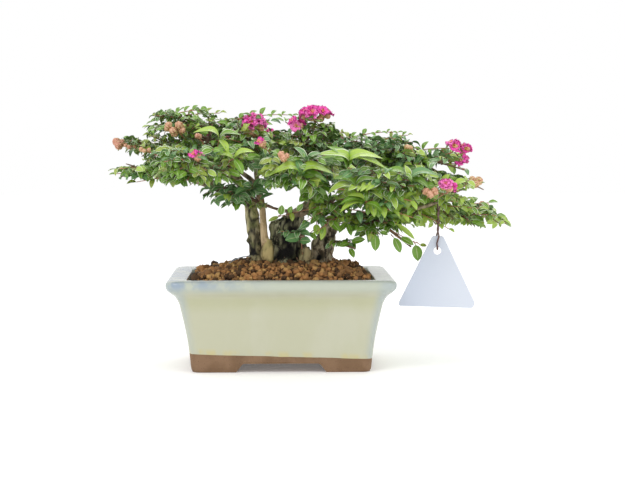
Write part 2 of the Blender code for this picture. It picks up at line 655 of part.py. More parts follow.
class Mass:
    """One mass of foliage: a stem, twigs that fan out to fill its space, and leaves."""

    def __init__(self, row, limbs, spaces, obstacles):
        self.name, carrier, self.share, centre, half, self.leaf_count = row
        self.carrier = limbs[carrier]
        self.space = spaces[self.name]
        self.others = list(spaces.values())
        self.obstacles = obstacles
        self.centre = mm(centre)
        self.half = mm(half)

    def stem_line(self):
        """The stem runs from the carrier to the far side of the space."""
        if self.share == 1:
            start = self.carrier.path[-1] + self.carrier.heading() * CLEAR
            first = start + self.carrier.heading() * STEM_STRAIGHT
        else:
            start = self.carrier.at(self.share)
            first = start.lerp(self.centre, 0.3)
        far = self.centre + (self.centre - start) * STEM_PAST
        return [start, first] + [first.lerp(far, step / 3.0) for step in (1, 2, 3)]

    def stem_at(self, share):
        """The point at a share of the stem's length."""
        place = share * (len(self.stem) - 1)
        index = min(int(place), len(self.stem) - 2)
        return self.stem[index].lerp(self.stem[index + 1], place - index)

    def plan_leaf(self, joint, direction, grown, stretch):
        """A place for a leaf near a direction, after a few tries, or None where none fits."""
        for attempt in range(LEAF_TRIES):
            length = self.leaf_length() * (1.0 - 0.05 * attempt)
            shake = Vector([self.rng.uniform(-1.0, 1.0) for axis in range(3)]) * 0.2 * attempt
            frame = leaf_frame(direction.normalized() + shake, self.leaf_normal(joint))
            samples = leaf_samples(joint, frame, length)
            others = [point for other in grown for point in other[3]]
            if self.fits(samples, LEAF_APART, LEAF_CLEAR, others, stretch):
                return (joint, frame, length, samples)
        return None

    def fits(self, points, apart, clear, others=(), stretch=LEAF_STRETCH):
        """Whether points keep to the space, miss every limb and touch nothing grown before."""
        if not self.space.holds(points, self.others, stretch):
            return False
        if not self.obstacles.clear(points, clear):
            return False
        taken = self.taken + list(others)
        if not taken:
            return True
        gaps = np.linalg.norm(np.asarray(points)[:, None, :] - np.asarray(taken), axis=2)
        return bool((gaps > apart).all())

    def leaf_length(self):
        """A random length, shorter in a small mass."""
        return self.rng.uniform(*LEAF_LENGTH) * min(1.0, max(0.6, min(self.half) / LEAF_ROOM))

    def leaf_normal(self, joint):
        """Upwards and outwards from the plant's middle, tipped at random."""
        outward = Vector((joint.x * 0.5, joint.y, 0.0)) / CROWN_RADIUS
        shake = Vector([self.rng.uniform(-0.5, 0.5) for axis in range(3)])
        return (Vector((0.0, 0.0, 1.0)) + outward * LEAF_LEAN + shake).normalized()

    def twig_line(self, target, tip_length):
        """A rising line from the stem to where the last leaf starts, short of the target."""
        spine = self.stem[-1] - self.stem[0]
        end = target - (target - self.centre).normalized() * tip_length
        share = ((end - self.stem[0]).dot(spine) / spine.length - TWIG_BACK) / spine.length
        start = self.stem_at(min(max(share + self.rng.uniform(-0.05, 0.05), 0.14), 0.93))
        end = target - (target - start).normalized() * tip_length
        lift = Vector((0.0, 0.0, 0.10 * (end - start).length))
        return bowed(start, end, lift, TWIG_STEPS)

    def twig_fits(self, path, stretch):
        """The probes along a twig if there is room for it, or None."""
        probes = [path[0].lerp(path[1], tenth / 10.0) for tenth in (4, 7)] + path[1:]
        probes.append(path[1].lerp(path[2], 0.5))
        fits = self.fits(probes, TWIG_APART, TWIG_RADIUS + LEAF_CLEAR, (), stretch)
        return probes if fits else None

    def leaves_along(self, path, first, tip_length, stretch):
        """Plan leaves on alternate sides of a line from a share of its length, and at its end."""
        run = path[-1] - path[0]
        heading = (path[-1] - path[-2]).normalized()
        grown = []
        frame = leaf_frame(run.normalized(), self.leaf_normal(path[-1]))
        samples = leaf_samples(path[-1], frame, tip_length)
        if self.fits(samples, LEAF_APART, LEAF_CLEAR, (), stretch):
            grown.append((path[-1], frame, tip_length, samples))
        count = int(run.length * (1.0 - first) / LEAF_SPACING)
        steps = len(path) - 1
        for index in range(count):
            place = steps * (first + (0.93 - first) * (index + 0.5) / count)
            step = min(int(place), steps - 1)
            joint = path[step].lerp(path[step + 1], place - step)
            side = self.leaf_normal(joint).cross(heading).normalized() * (1 if index % 2 else -1)
            slope = Vector((0.0, 0.0, self.rng.uniform(-0.45, 0.15)))
            leaf = self.plan_leaf(joint, heading * 0.8 + side + slope, grown, stretch)
            if leaf:
                grown.append(leaf)
        return grown

    def add_leaves(self, grown):
        """Make the planned leaves."""
        for joint, frame, length, samples in grown:
            add_leaf(joint, frame, length, self.parts)
            self.taken.extend(samples)
        self.leaves += len(grown)

    def grow_twig(self, target, stretch=LEAF_STRETCH, fewest=2):
        """A twig towards a target, if enough leaves fit on it."""
        tip_length = self.leaf_length()
        path = self.twig_line(target, tip_length - LEAF_ROOT)
        run = path[-1] - path[0]
        probes = self.twig_fits(path, stretch)
        if run.dot(target - path[0]) < 0.0 or run.length < TWIG_SHORTEST or not probes:
            return
        grown = self.leaves_along(path, 0.2, tip_length, stretch)
        if len(grown) < fewest:
            return
        radii = [TWIG_RADIUS * (1.0 - 0.12 * step) for step in range(TWIG_STEPS + 1)]
        add_object("twig", tube(path, radii, 3), None, self.parts)
        self.taken.extend(probes)
        self.add_leaves(grown)

    def farthest_inside(self, direction):
        """The point of the space farthest from its centre that way."""
        for step in range(19, 7, -1):
            reach = [direction[axis] * self.half[axis] * step * 0.05 for axis in range(3)]
            point = self.centre + Vector(reach)
            if self.space.holds([point], self.others):
                return point
        return None

    def grow(self):
        """Grow the mass; where its solids don't fuse cleanly, grow it again from another seed."""
        for attempt in range(GROW_TRIES):
            self.rng = random.Random(SEED + 100 * attempt + int(abs(self.centre.x) / MM))
            self.parts = bpy.data.collections.new(self.name + "_parts")
            self.taken = []
            self.leaves = 0
            body = self.sprout()
            if join(body, "UNION", self.parts):
                break
            bpy.data.objects.remove(body, do_unlink=True)
        keep_largest(body)
        print(self.name, "has", self.leaves, "leaves")

    def sprout(self):
        """The stem as an object, with all that will be fused to it in the parts."""
        self.stem = self.stem_line()
        radii = [STEM_RADIUS * (1.0 - 0.1 * step) for step in range(len(self.stem))]
        body = add_object(self.name, tube(self.stem, radii, 3), "foliage")
        if self.share != 1:
            join(body, "DIFFERENCE", self.carrier.solid(CLEAR, "cutter"))
            keep_largest(body)
        if self.name in REACHES:
            self.grow_twig(mm(REACHES[self.name]), REACH_STRETCH, 1)
        for mass, kind, place, count in BLOOMS:
            if mass == self.name:
                self.grow_bloom(kind, mm(place), count)
        self.add_leaves(self.leaves_along(self.stem, 0.35, self.leaf_length(), LEAF_STRETCH))
        for index in range(1, TWIG_CANDIDATES):
            if self.leaves >= self.leaf_count:
                break
            level = 1.9 * ((index * SPREAD_LEVEL) % 1.0) - 0.95
            angle = math.tau * ((index * SPREAD_TURN) % 1.0)
            flat = math.sqrt(1.0 - level * level)
            target = self.farthest_inside((flat * math.cos(angle), flat * math.sin(angle), level))
            if target:
                self.grow_twig(target)
        return body

    def grow_bloom(self, kind, place, count):
        """A twig to a blossom head or cluster of buds, with its lobes round the twig's end."""
        radius = LOBE_RADIUS[kind]
        path = self.twig_line(place, 0.0)
        if not self.twig_fits(path, LEAF_STRETCH):
            print("no room for", kind, "in", self.name)
            return
        add_object("twig", tube(path, [TWIG_RADIUS] * len(path), 3), None, self.parts)
        add_lobe(place, radius, self.parts)
        self.taken.extend([place, path[1]])
        for index in range(1, count):
            level = 1.0 - 1.5 * index / count
            angle = GOLDEN_ANGLE * index
            flat = math.sqrt(1.0 - level * level)
            step = Vector((flat * math.cos(angle), flat * math.sin(angle) * 0.8, level * 0.8))
            centre = place + step * radius * 1.35
            probes = [centre + tip * 2.0 * radius for tip in UNIT_TIPS]
            if self.space.holds(probes, self.others) and self.obstacles.clear(probes, CLEAR):
                add_lobe(centre, radius * self.rng.uniform(0.85, 1.0), self.parts)
                self.taken.append(centre)


# ---- tag and tie -------------------------------------------------------------------------

def curve_object(name, curve, surface):
    """A curve turned into a mesh object."""
    holder = bpy.data.objects.new(name, curve)
    plant_collection().objects.link(holder)
    bpy.context.view_layer.update()
    mesh = bpy.data.meshes.new_from_object(
        holder.evaluated_get(bpy.context.evaluated_depsgraph_get()))
    bpy.data.objects.remove(holder, do_unlink=True)
    bm = bmesh.new()
    bm.from_mesh(mesh)
    bmesh.ops.remove_doubles(bm, verts=bm.verts, dist=WELD)
    return add_object(name, bm, surface)


def poly_spline(curve, points):
    """Add a closed straight-sided spline."""
    spline = curve.splines.new("POLY")
    spline.points.add(len(points) - 1)
    for slot, point in zip(spline.points, points):
        slot.co = (*point, 1.0)
    spline.use_cyclic_u = True


def make_tag():
    """A blank triangular tag with a blunt top corner and a round hole."""
    outline = []
    corners = (
        (TAG_APEX_HALF, TAG_ABOVE_HOLE),
        (-TAG_APEX_HALF, TAG_ABOVE_HOLE),
        (-TAG_BASE_HALF, TAG_FOOT - TAG_BELOW_HOLE),
        (-TAG_BASE_HALF, -TAG_BELOW_HOLE),
        (TAG_BASE_HALF, -TAG_BELOW_HOLE),
        (TAG_BASE_HALF, TAG_FOOT - TAG_BELOW_HOLE),
    )
    for x, z in corners:
        outline.append((x, z, 0.0))
    hole = []
    for step in range(ROUND_STEPS):
        angle = math.tau * step / ROUND_STEPS
        hole.append((TAG_HOLE_RADIUS * math.cos(angle), TAG_HOLE_RADIUS * math.sin(angle), 0.0))
    curve = bpy.data.curves.new("tag", "CURVE")
    curve.dimensions = "2D"
    curve.fill_mode = "BOTH"
    curve.extrude = TAG_THICK / 2
    poly_spline(curve, outline)
    poly_spline(curve, hole)
    tag = curve_object("tag", curve, "tag")
    upright = Matrix.Rotation(math.radians(90.0), 4, "X")
    lean = Matrix.Rotation(TAG_LEAN, 4, "Y")
    tag.data.transform(Matrix.Translation(TAG_HOLE) @ lean @ upright)


def make_tie(limbs):
    """One closed loop of cord: over the bough's end and down through the tag's hole."""
    bough = limbs["bough_tag"]
    top = bough.at(0.955)
    hold = bough.radii[-1] * 1.12 + CLEAR + TIE_RADIUS
    hole_x, hole_y, hole_z = TAG_HOLE
    low_z = hole_z + TAG_HOLE_RADIUS - CLEAR - TIE_RADIUS - TIE_NARROW * 0.3
    points = []
    for step in range(TIE_TURN):
        angle = math.pi * step / (TIE_TURN - 1)
        points.append((top.x, top.y + hold * math.cos(angle), top.z + hold * math.sin(angle)))
    for step in range(TIE_TURN):
        angle = math.pi * step / (TIE_TURN - 1)
        drop = TIE_NARROW * 0.3 * math.sin(angle)
        points.append((hole_x, hole_y - TIE_NARROW * math.cos(angle), low_z - drop))
    curve = bpy.data.curves.new("tag_tie", "CURVE")
    curve.dimensions = "3D"
    curve.bevel_depth = TIE_RADIUS
    curve.bevel_resolution = 1
    poly_spline(curve, points)
    curve_object("tag_tie", curve, "tie")
    loop = [Vector(point) for point in points]
    return Limb("tag_tie", loop, [TIE_RADIUS] * len(loop), 6)


def main():
    clear_scene()
    make_pot()
    make_soil()
    limbs = plan_limbs()
    make_limbs(limbs)
    make_tag()
    tie = make_tie(limbs)
    obstacles = Obstacles(list(limbs.values()) + [tie])
    spaces = {row[0]: Space(row[0], row[3], row[4]) for row in MASSES}
    for row in MASSES:
        Mass(row, limbs, spaces, obstacles).grow()


main()
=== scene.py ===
"""A flowering crape myrtle bonsai in a glazed pot: every piece's shape and finish."""

import functools
import itertools
import math

import bpy
import numpy as np
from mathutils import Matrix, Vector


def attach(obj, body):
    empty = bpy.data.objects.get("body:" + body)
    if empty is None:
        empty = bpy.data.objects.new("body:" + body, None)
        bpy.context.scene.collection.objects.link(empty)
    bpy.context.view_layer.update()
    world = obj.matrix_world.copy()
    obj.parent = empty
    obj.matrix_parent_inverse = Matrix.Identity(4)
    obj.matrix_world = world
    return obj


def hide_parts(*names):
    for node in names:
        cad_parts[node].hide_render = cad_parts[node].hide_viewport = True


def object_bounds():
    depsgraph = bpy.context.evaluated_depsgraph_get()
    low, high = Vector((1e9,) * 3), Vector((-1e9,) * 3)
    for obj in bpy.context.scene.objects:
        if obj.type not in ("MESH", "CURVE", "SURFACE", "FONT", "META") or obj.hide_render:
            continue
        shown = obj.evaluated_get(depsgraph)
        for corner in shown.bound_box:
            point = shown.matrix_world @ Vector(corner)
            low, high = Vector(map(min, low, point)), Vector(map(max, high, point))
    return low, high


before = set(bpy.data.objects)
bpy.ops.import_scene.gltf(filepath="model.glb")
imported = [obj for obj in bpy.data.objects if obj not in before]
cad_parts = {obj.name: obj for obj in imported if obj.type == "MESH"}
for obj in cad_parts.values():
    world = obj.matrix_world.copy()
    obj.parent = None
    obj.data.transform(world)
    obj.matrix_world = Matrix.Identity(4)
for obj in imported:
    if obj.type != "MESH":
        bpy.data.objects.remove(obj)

cad_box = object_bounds()

# ---- studio ------------------------------------------------------------------------------
# A pale seamless floor under a white sky, with a wide soft light high on the left, a weaker one
# on the right and one behind. The eye is level with the crown, a metre and a half away.

MM = 0.001
EYE = (-0.045, -1.53, 0.235)
EYE_DOWN = math.radians(4.07)
EYE_RIGHT = math.radians(1.626)

lens = bpy.data.cameras.new("eye")
lens.lens = 87.67
lens.sensor_width = 36.0
camera = bpy.data.objects.new("eye", lens)
camera.location = EYE
camera.rotation_euler = (math.pi / 2 - EYE_DOWN, 0.0, -EYE_RIGHT)
bpy.context.scene.collection.objects.link(camera)
bpy.context.scene.camera = camera

bpy.context.scene.view_settings.view_transform = "Standard"
sky = bpy.data.worlds.new("sky")
bpy.context.scene.world = sky
sky.use_nodes = True
WHITE = (1.0, 1.0, 1.0)


def join(node, inputs):
    """Give a node's inputs their values: numbers, colours, or the outputs of other nodes."""
    for key, value in inputs.items():
        socket = node.inputs[key]
        if isinstance(value, bpy.types.NodeSocket):
            node.id_data.links.new(value, socket)
        else:
            socket.default_value = (*value, 1.0) if socket.type == "RGBA" else value
    return node


join(sky.node_tree.nodes["Background"], {"Color": WHITE, "Strength": 1.0})


def add_lamp(name, place, aim, size, power):
    """A square soft lamp at a place, turned so that it shines at the aim."""
    data = bpy.data.lights.new(name, "AREA")
    data.size = size
    data.energy = power
    lamp = bpy.data.objects.new(name, data)
    lamp.location = place
    way = np.array(place) - np.array(aim)
    flat = math.hypot(way[0], way[1])
    lamp.rotation_euler = (math.atan2(flat, way[2]), 0.0, math.atan2(way[0], -way[1]))
    bpy.context.scene.collection.objects.link(lamp)


add_lamp("lamp_left", (-0.9, -1.1, 1.5), (0.0, 0.0, 0.12), 0.9, 9.0)
add_lamp("lamp_right", (1.3, -0.9, 0.9), (0.0, 0.0, 0.12), 0.8, 3.0)
add_lamp("lamp_back", (0.3, 1.3, 1.3), (0.0, 0.0, 0.15), 0.8, 5.0)


def add_mesh(name, points, faces, surface):
    """A smooth-shaded mesh from an array of points and one or more arrays of faces."""
    mesh = bpy.data.meshes.new(name)
    corners = [row for group in faces for row in group.tolist()]
    mesh.from_pydata(points.reshape(-1, 3).tolist(), [], corners)
    mesh.shade_smooth()
    mesh.materials.append(surface)
    made = bpy.data.objects.new(name, mesh)
    bpy.context.scene.collection.objects.link(made)
    return made


def plain(name, colour, roughness):
    """A material with the same colour and roughness all over."""
    made = bpy.data.materials.new(name)
    made.use_nodes = True
    join(made.node_tree.nodes["Principled BSDF"], {"Base Color": colour, "Roughness": roughness})
    return made


def dress(piece, slot, *nodes):
    """The piece moves with the plant and stands for the solids named. Its slot is not used."""
    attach(piece, "root")
    if nodes:
        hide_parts(*nodes)


FLOOR_HALF = 4.0
FLOOR_GLOW = 0.12                          # lights the floor's paint up to the sky's white
paint = plain("floor paint", (0.96, 0.96, 0.96), 0.8)
join(paint.node_tree.nodes["Principled BSDF"],
     {"Emission Color": WHITE, "Emission Strength": FLOOR_GLOW})
floor_points = np.array([(x, y, 0.0) for x, y in ((-1, -1), (1, -1), (1, 1), (-1, 1))])
floor = add_mesh("floor", floor_points * FLOOR_HALF, [np.array([(0, 1, 2, 3)])], paint)


# ---- pot ---------------------------------------------------------------------------------
# Slab-built stoneware with a rolled lip and four corner feet cut from the base. It is dipped
# upside down in a cream glaze, so the foot stays bare brown clay below a wandering line.

POT_X = -33.6 * MM
POT_LONGER = 24.0 * MM
FOOT_HEIGHT = 8.5 * MM
# the wall's section from the foot up, then down inside: half length, height, corner radius
POT_OUTSIDE = np.array((
    (86.4, 0.0, 8.0), (87.9, 4.0, 8.5), (89.3, 17.0, 9.0), (91.6, 34.0, 9.5), (95.2, 52.0, 10.0),
    (97.4, 62.0, 10.5), (98.7, 67.5, 11.0), (100.7, 72.0, 11.0), (103.2, 75.6, 11.5),
    (107.0, 78.8, 12.0), (110.2, 82.4, 12.5), (111.2, 86.2, 12.5), (110.2, 89.4, 12.0),
    (107.4, 91.0, 11.0),
)) * MM
POT_INSIDE = np.array((
    (96.5, 91.1, 8.5), (93.0, 90.6, 8.0), (91.2, 88.6, 7.5), (89.6, 80.0, 7.0), (88.6, 66.0, 7.0),
    (84.0, 34.0, 6.5), (80.5, 15.0, 6.0),
)) * MM
ARCH_TOP = (37.5 * MM, 21.0 * MM)
ARCH_SLANT = 6.5 * MM
DRAIN_RADIUS = 7.0 * MM
DRAIN_X = 45.0 * MM
SIDE_POINTS = 96
CORNER_POINTS = 12


def smooth_rows(rows, between):
    """A Catmull-Rom curve through the rows, with that many steps from each to the next."""
    padded = np.vstack((2 * rows[0] - rows[1], rows, 2 * rows[-1] - rows[-2]))
    share = np.arange(between)[:, None] / between
    curve = []
    for before, start, end, after in zip(padded, padded[1:], padded[2:], padded[3:]):
        curve.append(0.5 * (2 * start + (end - before) * share
                            + (2 * before - 5 * start + 4 * end - after) * share ** 2
                            + (3 * start - before - 3 * end + after) * share ** 3))
    return np.vstack(curve + [rows[-1:]])


def xyz(x, y, z):
    """Points from their coordinates, any of which may be the same for all of them."""
    return np.stack(np.broadcast_arrays(x, y, z), axis=-1)


def full_turn(count):
    """Angles dealt out evenly round a circle."""
    return np.linspace(0.0, math.tau, count, endpoint=False)


def rectangle_ring(half_length, corner):
    """Rounded rectangles in plan: straight sides between quarter circles, one row for each
    half length and corner radius given."""
    half_length = np.asarray(half_length)[:, None]
    corner = np.asarray(corner)[:, None]
    half_depth = half_length - POT_LONGER
    quarter = np.linspace(0.0, math.pi / 2, CORNER_POINTS)
    straight = np.linspace(1.0, -1.0, SIDE_POINTS)[1:-1]
    level = 0.0 * corner * straight
    x_parts, y_parts = [], []
    for turn, (sign_x, sign_y) in enumerate(((1, 1), (-1, 1), (-1, -1), (1, -1))):
        angle = quarter + turn * math.pi / 2
        x_parts.append(sign_x * (half_length - corner) + corner * np.cos(angle))
        y_parts.append(sign_y * (half_depth - corner) + corner * np.sin(angle))
        if turn % 2 == 0:
            x_parts.append(sign_y * (half_length - corner) * straight)
            y_parts.append(sign_y * half_depth + level)
        else:
            x_parts.append(sign_x * half_length + level)
            y_parts.append(-sign_x * (half_depth - corner) * straight)
    return np.hstack(x_parts), np.hstack(y_parts)


def grid_quads(rows, columns):
    """Quads between the rows of a grid whose last column meets its first."""
    across = np.arange(columns)
    down = np.arange(rows - 1)[:, None] * columns
    after = (across + 1) % columns
    quads = (down + across, down + after, down + columns + after, down + columns + across)
    return np.stack(quads, axis=-1).reshape(-1, 4)


def tube_faces(count, rows, columns):
    """Faces of closed tubes: quads between a tube's rings, and a fan at each end to the two
    points that follow its rings."""
    across = np.arange(columns)
    after = (across + 1) % columns
    last = (rows - 1) * columns
    end = rows * columns
    fans = np.vstack((np.stack((after, across, 0 * across + end), axis=-1),
                      np.stack((across + last, after + last, 0 * across + end + 1), axis=-1)))
    starts = np.arange(count)[:, None, None] * (end + 2)
    return [(grid_quads(rows, columns) + starts).reshape(-1, 4), (fans + starts).reshape(-1, 3)]


def skin(rows):
    """Points and faces of a closed skin through rings of points, with a fan at each end."""
    ends = np.stack((rows[0].mean(axis=0), rows[-1].mean(axis=0)))
    return np.vstack((rows.reshape(-1, 3), ends)), tube_faces(1, *rows.shape[:2])


def arch_height(x, y):
    """How high the underside is: the ground at the feet, ramped up to the gaps between."""
    into_front = (ARCH_TOP[0] + ARCH_SLANT - np.abs(x)) / ARCH_SLANT
    into_side = (ARCH_TOP[1] + ARCH_SLANT - np.abs(y)) / ARCH_SLANT
    return FOOT_HEIGHT * np.clip(np.maximum(into_front, into_side), 0.0, 1.0)


FOOT_BAND = 17.0 * MM                      # the foot's slope takes up the gaps below this
FOOT_EDGE = 1.2 * MM                       # the wall starts this far above the underside
SOLE_LIFT = 0.35 * MM                      # and the underside's own edge is lifted this far
FOOT_ROWS = 20                             # rows of the outside that the foot's slope may use
UNDER_ROWS = 33

outside = smooth_rows(POT_OUTSIDE, 4)
profile = np.vstack((outside, smooth_rows(POT_INSIDE, 4)))
wall_x, wall_y = rectangle_ring(profile[:, 0], profile[:, 2])
wall_z = profile[:, 1:2] + 0.0 * wall_x
in_band = (wall_z < FOOT_BAND) & (np.arange(len(profile))[:, None] < len(outside))
edge = arch_height(wall_x[:1], wall_y[:1])
wall_z = np.where(in_band, edge + FOOT_EDGE + (wall_z / FOOT_BAND) * (FOOT_BAND - edge - FOOT_EDGE),
                  wall_z)
band_half = np.interp(wall_z, profile[:FOOT_ROWS, 1], profile[:FOOT_ROWS, 0])
grow = np.where(in_band, band_half / profile[:, :1], 1.0)
wall_rows = xyz(wall_x * grow, wall_y * grow, wall_z)
under_rows = []
for shrink in np.linspace(0.0, 1.0, UNDER_ROWS + 1)[:-1]:
    x, y = wall_rows[0, :, :2].T * (1.0 - shrink)
    under_rows.append(xyz(x, y, arch_height(x, y)))
under_rows[0] = under_rows[0] * (1.0 - 0.004) + np.array((0.0, 0.0, SOLE_LIFT))
floor_rows = [wall_rows[-1] * (share, share, 1.0) for share in (0.8, 0.6, 0.4, 0.2)]
pot_rows = np.concatenate((under_rows[::-1], wall_rows, floor_rows))
pot_rows[..., 0] += POT_X


def add_node(kind, settings, inputs):
    """A new shader node with its settings and inputs, in the tree of the socket among them."""
    tree = next(value.id_data for value in inputs.values()
                if isinstance(value, bpy.types.NodeSocket))
    node = tree.nodes.new("ShaderNode" + kind)
    for name, value in settings.items():
        setattr(node, name, value)
    return join(node, inputs)


def maths(operation, first, second=0.0):
    """The result of one Math node."""
    return add_node("Math", {"operation": operation}, {0: first, 1: second}).outputs[0]


plus = functools.partial(maths, "ADD")
minus = functools.partial(maths, "SUBTRACT")
times = functools.partial(maths, "MULTIPLY")


def rise(value, low, high):
    """A smooth rise from 0 at the low value to 1 at the high one."""
    inputs = {"Value": value, "From Min": low, "From Max": high}
    return add_node("MapRange", {"interpolation_type": "SMOOTHSTEP"}, inputs).outputs["Result"]


def mix(share, first, second):
    """The colour between two, by a share."""
    inputs = {0: share, 6: first, 7: second}
    return add_node("Mix", {"data_type": "RGBA"}, inputs).outputs[2]


def noise(place, scale, detail=3.0, stretch=(1.0, 1.0, 1.0), shift=0.0):
    """Cloudy noise on the place, squeezed along each axis by the stretch."""
    moved = add_node("Mapping", {}, {"Vector": place, "Scale": stretch, "Location": (shift,) * 3})
    inputs = {"Vector": moved.outputs[0], "Scale": scale, "Detail": detail}
    return add_node("TexNoise", {}, inputs).outputs["Fac"]


def relief(height, depth):
    """The normal of a surface raised by a height, in metres, times the depth."""
    inputs = {"Height": height, "Distance": depth, "Strength": 1.0}
    return add_node("Bump", {}, inputs).outputs["Normal"]


def new_finish(name):
    """A new material, its shader and the place on the piece."""
    made = bpy.data.materials.new(name)
    made.use_nodes = True
    nodes = made.node_tree.nodes
    return made, nodes["Principled BSDF"], nodes.new("ShaderNodeTexCoord").outputs["Object"]


CREAM = (0.49, 0.49, 0.355)
CREAM_PALE = (0.508, 0.508, 0.386)
# darker and more olive under the lip
CREAM_UNDER_LIP = (0.44, 0.448, 0.245)
CREAM_THIN = (0.455, 0.49, 0.405)
CORNER_REFLECTION_BLUE = (0.38, 0.44, 0.45)            # painted reflection of a darker room on the rounded corners
# painted highlight along the rim's rounded top
RIM_TOP_HIGHLIGHT = (0.56, 0.6, 0.56)
SMUDGE = (0.24, 0.31, 0.42)
DRIP = (0.56, 0.48, 0.2)
CLAY = (0.187, 0.107, 0.055)
CLAY_PALE = (0.234, 0.139, 0.077)
CLAY_DARK = (0.13, 0.068, 0.04)
CLAY_ROUGH = 0.82
GLAZE_LINE = 12.6 * MM                     # the glaze's lower edge, which rises to the left


def glaze_finish():
    """Cream glaze, darker and olive under the lip and thin on it, over bare brown clay, with a
    painted reflection of a darker room on its rounded corners and a painted highlight along the
    rim's top. Each zone's limits are heights and distances in metres, blended in order over the
    one before."""
    made, shader, place = new_finish("cream glaze on brown clay")
    x, y, z = add_node("SeparateXYZ", {}, {"Vector": place}).outputs
    line = plus(GLAZE_LINE, times(minus(0.053, x), 0.031))
    line = plus(line, times(noise(place, 45.0, 2.0), 0.0012))
    above_line = minus(z, line)
    glazed = rise(above_line, -0.00012, 0.00012)
    clouds = noise(place, 28.0, 4.0, (1.0, 1.0, 0.45))
    under_lip = times(rise(z, 0.056, 0.0695), rise(z, 0.0775, 0.0725))
    wall_half = plus(0.0868, times(z, 0.165))
    from_side = minus(maths("ABSOLUTE", minus(x, POT_X)), wall_half)
    from_front = minus(maths("ABSOLUTE", y), minus(wall_half, POT_LONGER))
    corner = maths("MINIMUM", rise(from_side, -0.012, -0.001), rise(from_front, -0.012, -0.001))
    smudged = times(rise(x, -0.03, -0.13), rise(z, 0.078, 0.088))
    drips = noise(place, 60.0, 3.0, (1.0, 1.0, 0.3), 3.0)
    body = mix(rise(clouds, 0.42, 0.62), CREAM, CREAM_PALE)
    for share, strength, colour in (
            # darker, more olive band under the lip
            (under_lip, 0.38, CREAM_UNDER_LIP),
            (rise(z, 0.0765, 0.084), 0.9, CREAM_THIN),
            # painted reflection: darker blue-grey patches on the rounded corners
            (times(corner, rise(clouds, 0.2, 0.6)), 0.85, CORNER_REFLECTION_BLUE),
            # painted highlight: a paler band along the rim's top
            (rise(z, 0.0885, 0.0905), 0.6, RIM_TOP_HIGHLIGHT),
            (times(smudged, rise(noise(place, 70.0), 0.36, 0.58)), 0.75, SMUDGE),
            (times(rise(above_line, 0.0075, 0.0015), rise(drips, 0.46, 0.6)), 0.6, DRIP)):
        body = mix(times(share, strength), body, colour)

    grit = noise(place, 900.0)
    clay = mix(rise(noise(place, 60.0, shift=5.0), 0.35, 0.65), CLAY, CLAY_PALE)
    clay = mix(rise(grit, 0.62, 0.72), clay, CLAY_DARK)
    shine = plus(0.13, times(clouds, 0.1))
    ripples = times(noise(place, 40.0, 2.0), 1.2)
    pits = times(minus(1.0, glazed), times(grit, 0.5))
    height = plus(plus(ripples, pits), times(glazed, 0.35))
    join(shader, {"Base Color": mix(glazed, clay, body),
                  "Roughness": minus(CLAY_ROUGH, times(glazed, minus(CLAY_ROUGH, shine))),
                  "Normal": relief(height, 0.0006)})
    return made


glaze = glaze_finish()
pot_points, pot_faces = skin(pot_rows)
pot = add_mesh("glazed_pot", pot_points, pot_faces, glaze)
for side in (-1, 1):
    turn = full_turn(40)
    ring = DRAIN_RADIUS * xyz(np.cos(turn), np.sin(turn), 0.0) + (POT_X + side * DRAIN_X, 0, 0)
    hole_points, hole_faces = skin(np.array([ring - (0, 0, 0.01), ring + (0, 0, 0.03)]))
    hole = add_mesh("drain_hole", hole_points, hole_faces, glaze)
    drill = pot.modifiers.new("drain", "BOOLEAN")
    drill.operation = "DIFFERENCE"
    drill.object = hole
    bpy.context.view_layer.objects.active = pot
    with bpy.context.temp_override(object=pot, active_object=pot):
        bpy.ops.object.modifier_apply(modifier=drill.name)
    bpy.data.objects.remove(hole, do_unlink=True)
pot.data.set_sharp_from_angle(angle=math.radians(38.0))
dress(pot, "glaze", "pot")


# ---- soil --------------------------------------------------------------------------------
# A mound of fired clay granules over finer grit, whose dark brown is deepened to near black as
# painted shade for the gaps between them. The granules are sifted, 3 to 9 mm across, and lie as
# they were poured, with a few coarse ones among them.

# the mound's line: share of the way from the middle to the wall, and height
SOIL_TOP = np.array((
    (1.00, 87.5), (0.94, 90.5), (0.84, 94.6), (0.72, 98.6), (0.58, 101.0), (0.3, 101.6),
    (0.00, 101.6),
))
SOIL_HALF = 89.3 * MM
SOIL_CORNER = 7.0 * MM
SETTLED = (-62 * MM, 24 * MM, 3.0 * MM)    # a shallow dip left of the stems: x, width, depth
SOIL_SINK = 1.6 * MM                       # the grit lies this far under the mound's own line


def lattice(cells):
    """A fixed random value from -1 to 1 for each whole-numbered cell."""
    wave = np.sin(cells @ np.array((127.1, 311.7, 74.7))) * 43758.5453
    return 2.0 * (wave - np.floor(wave)) - 1.0


def lumps(points, size, shift=0.0):
    """Smooth noise from -1 to 1: random values on a cubic lattice of that size, eased between."""
    place = points / size + shift
    cell = np.floor(place)
    part = place - cell
    part = part * part * (3.0 - 2.0 * part)
    total = np.zeros(points.shape[:-1])
    for corner in itertools.product((0.0, 1.0), repeat=3):
        corner = np.array(corner)
        total += np.abs(1.0 - corner - part).prod(axis=-1) * lattice(cell + corner)
    return total


def mound_height(x, y):
    """The mound's height: its line runs from the pot's wall inwards, the same on every side."""
    share = np.maximum(np.abs(x - POT_X) / SOIL_HALF, np.abs(y) / (SOIL_HALF - POT_LONGER))
    settled = SETTLED[2] * np.exp(-((x - POT_X - SETTLED[0]) / SETTLED[1]) ** 2) * (share < 0.93)
    return np.interp(share, SOIL_TOP[::-1, 0], SOIL_TOP[::-1, 1]) * MM - settled


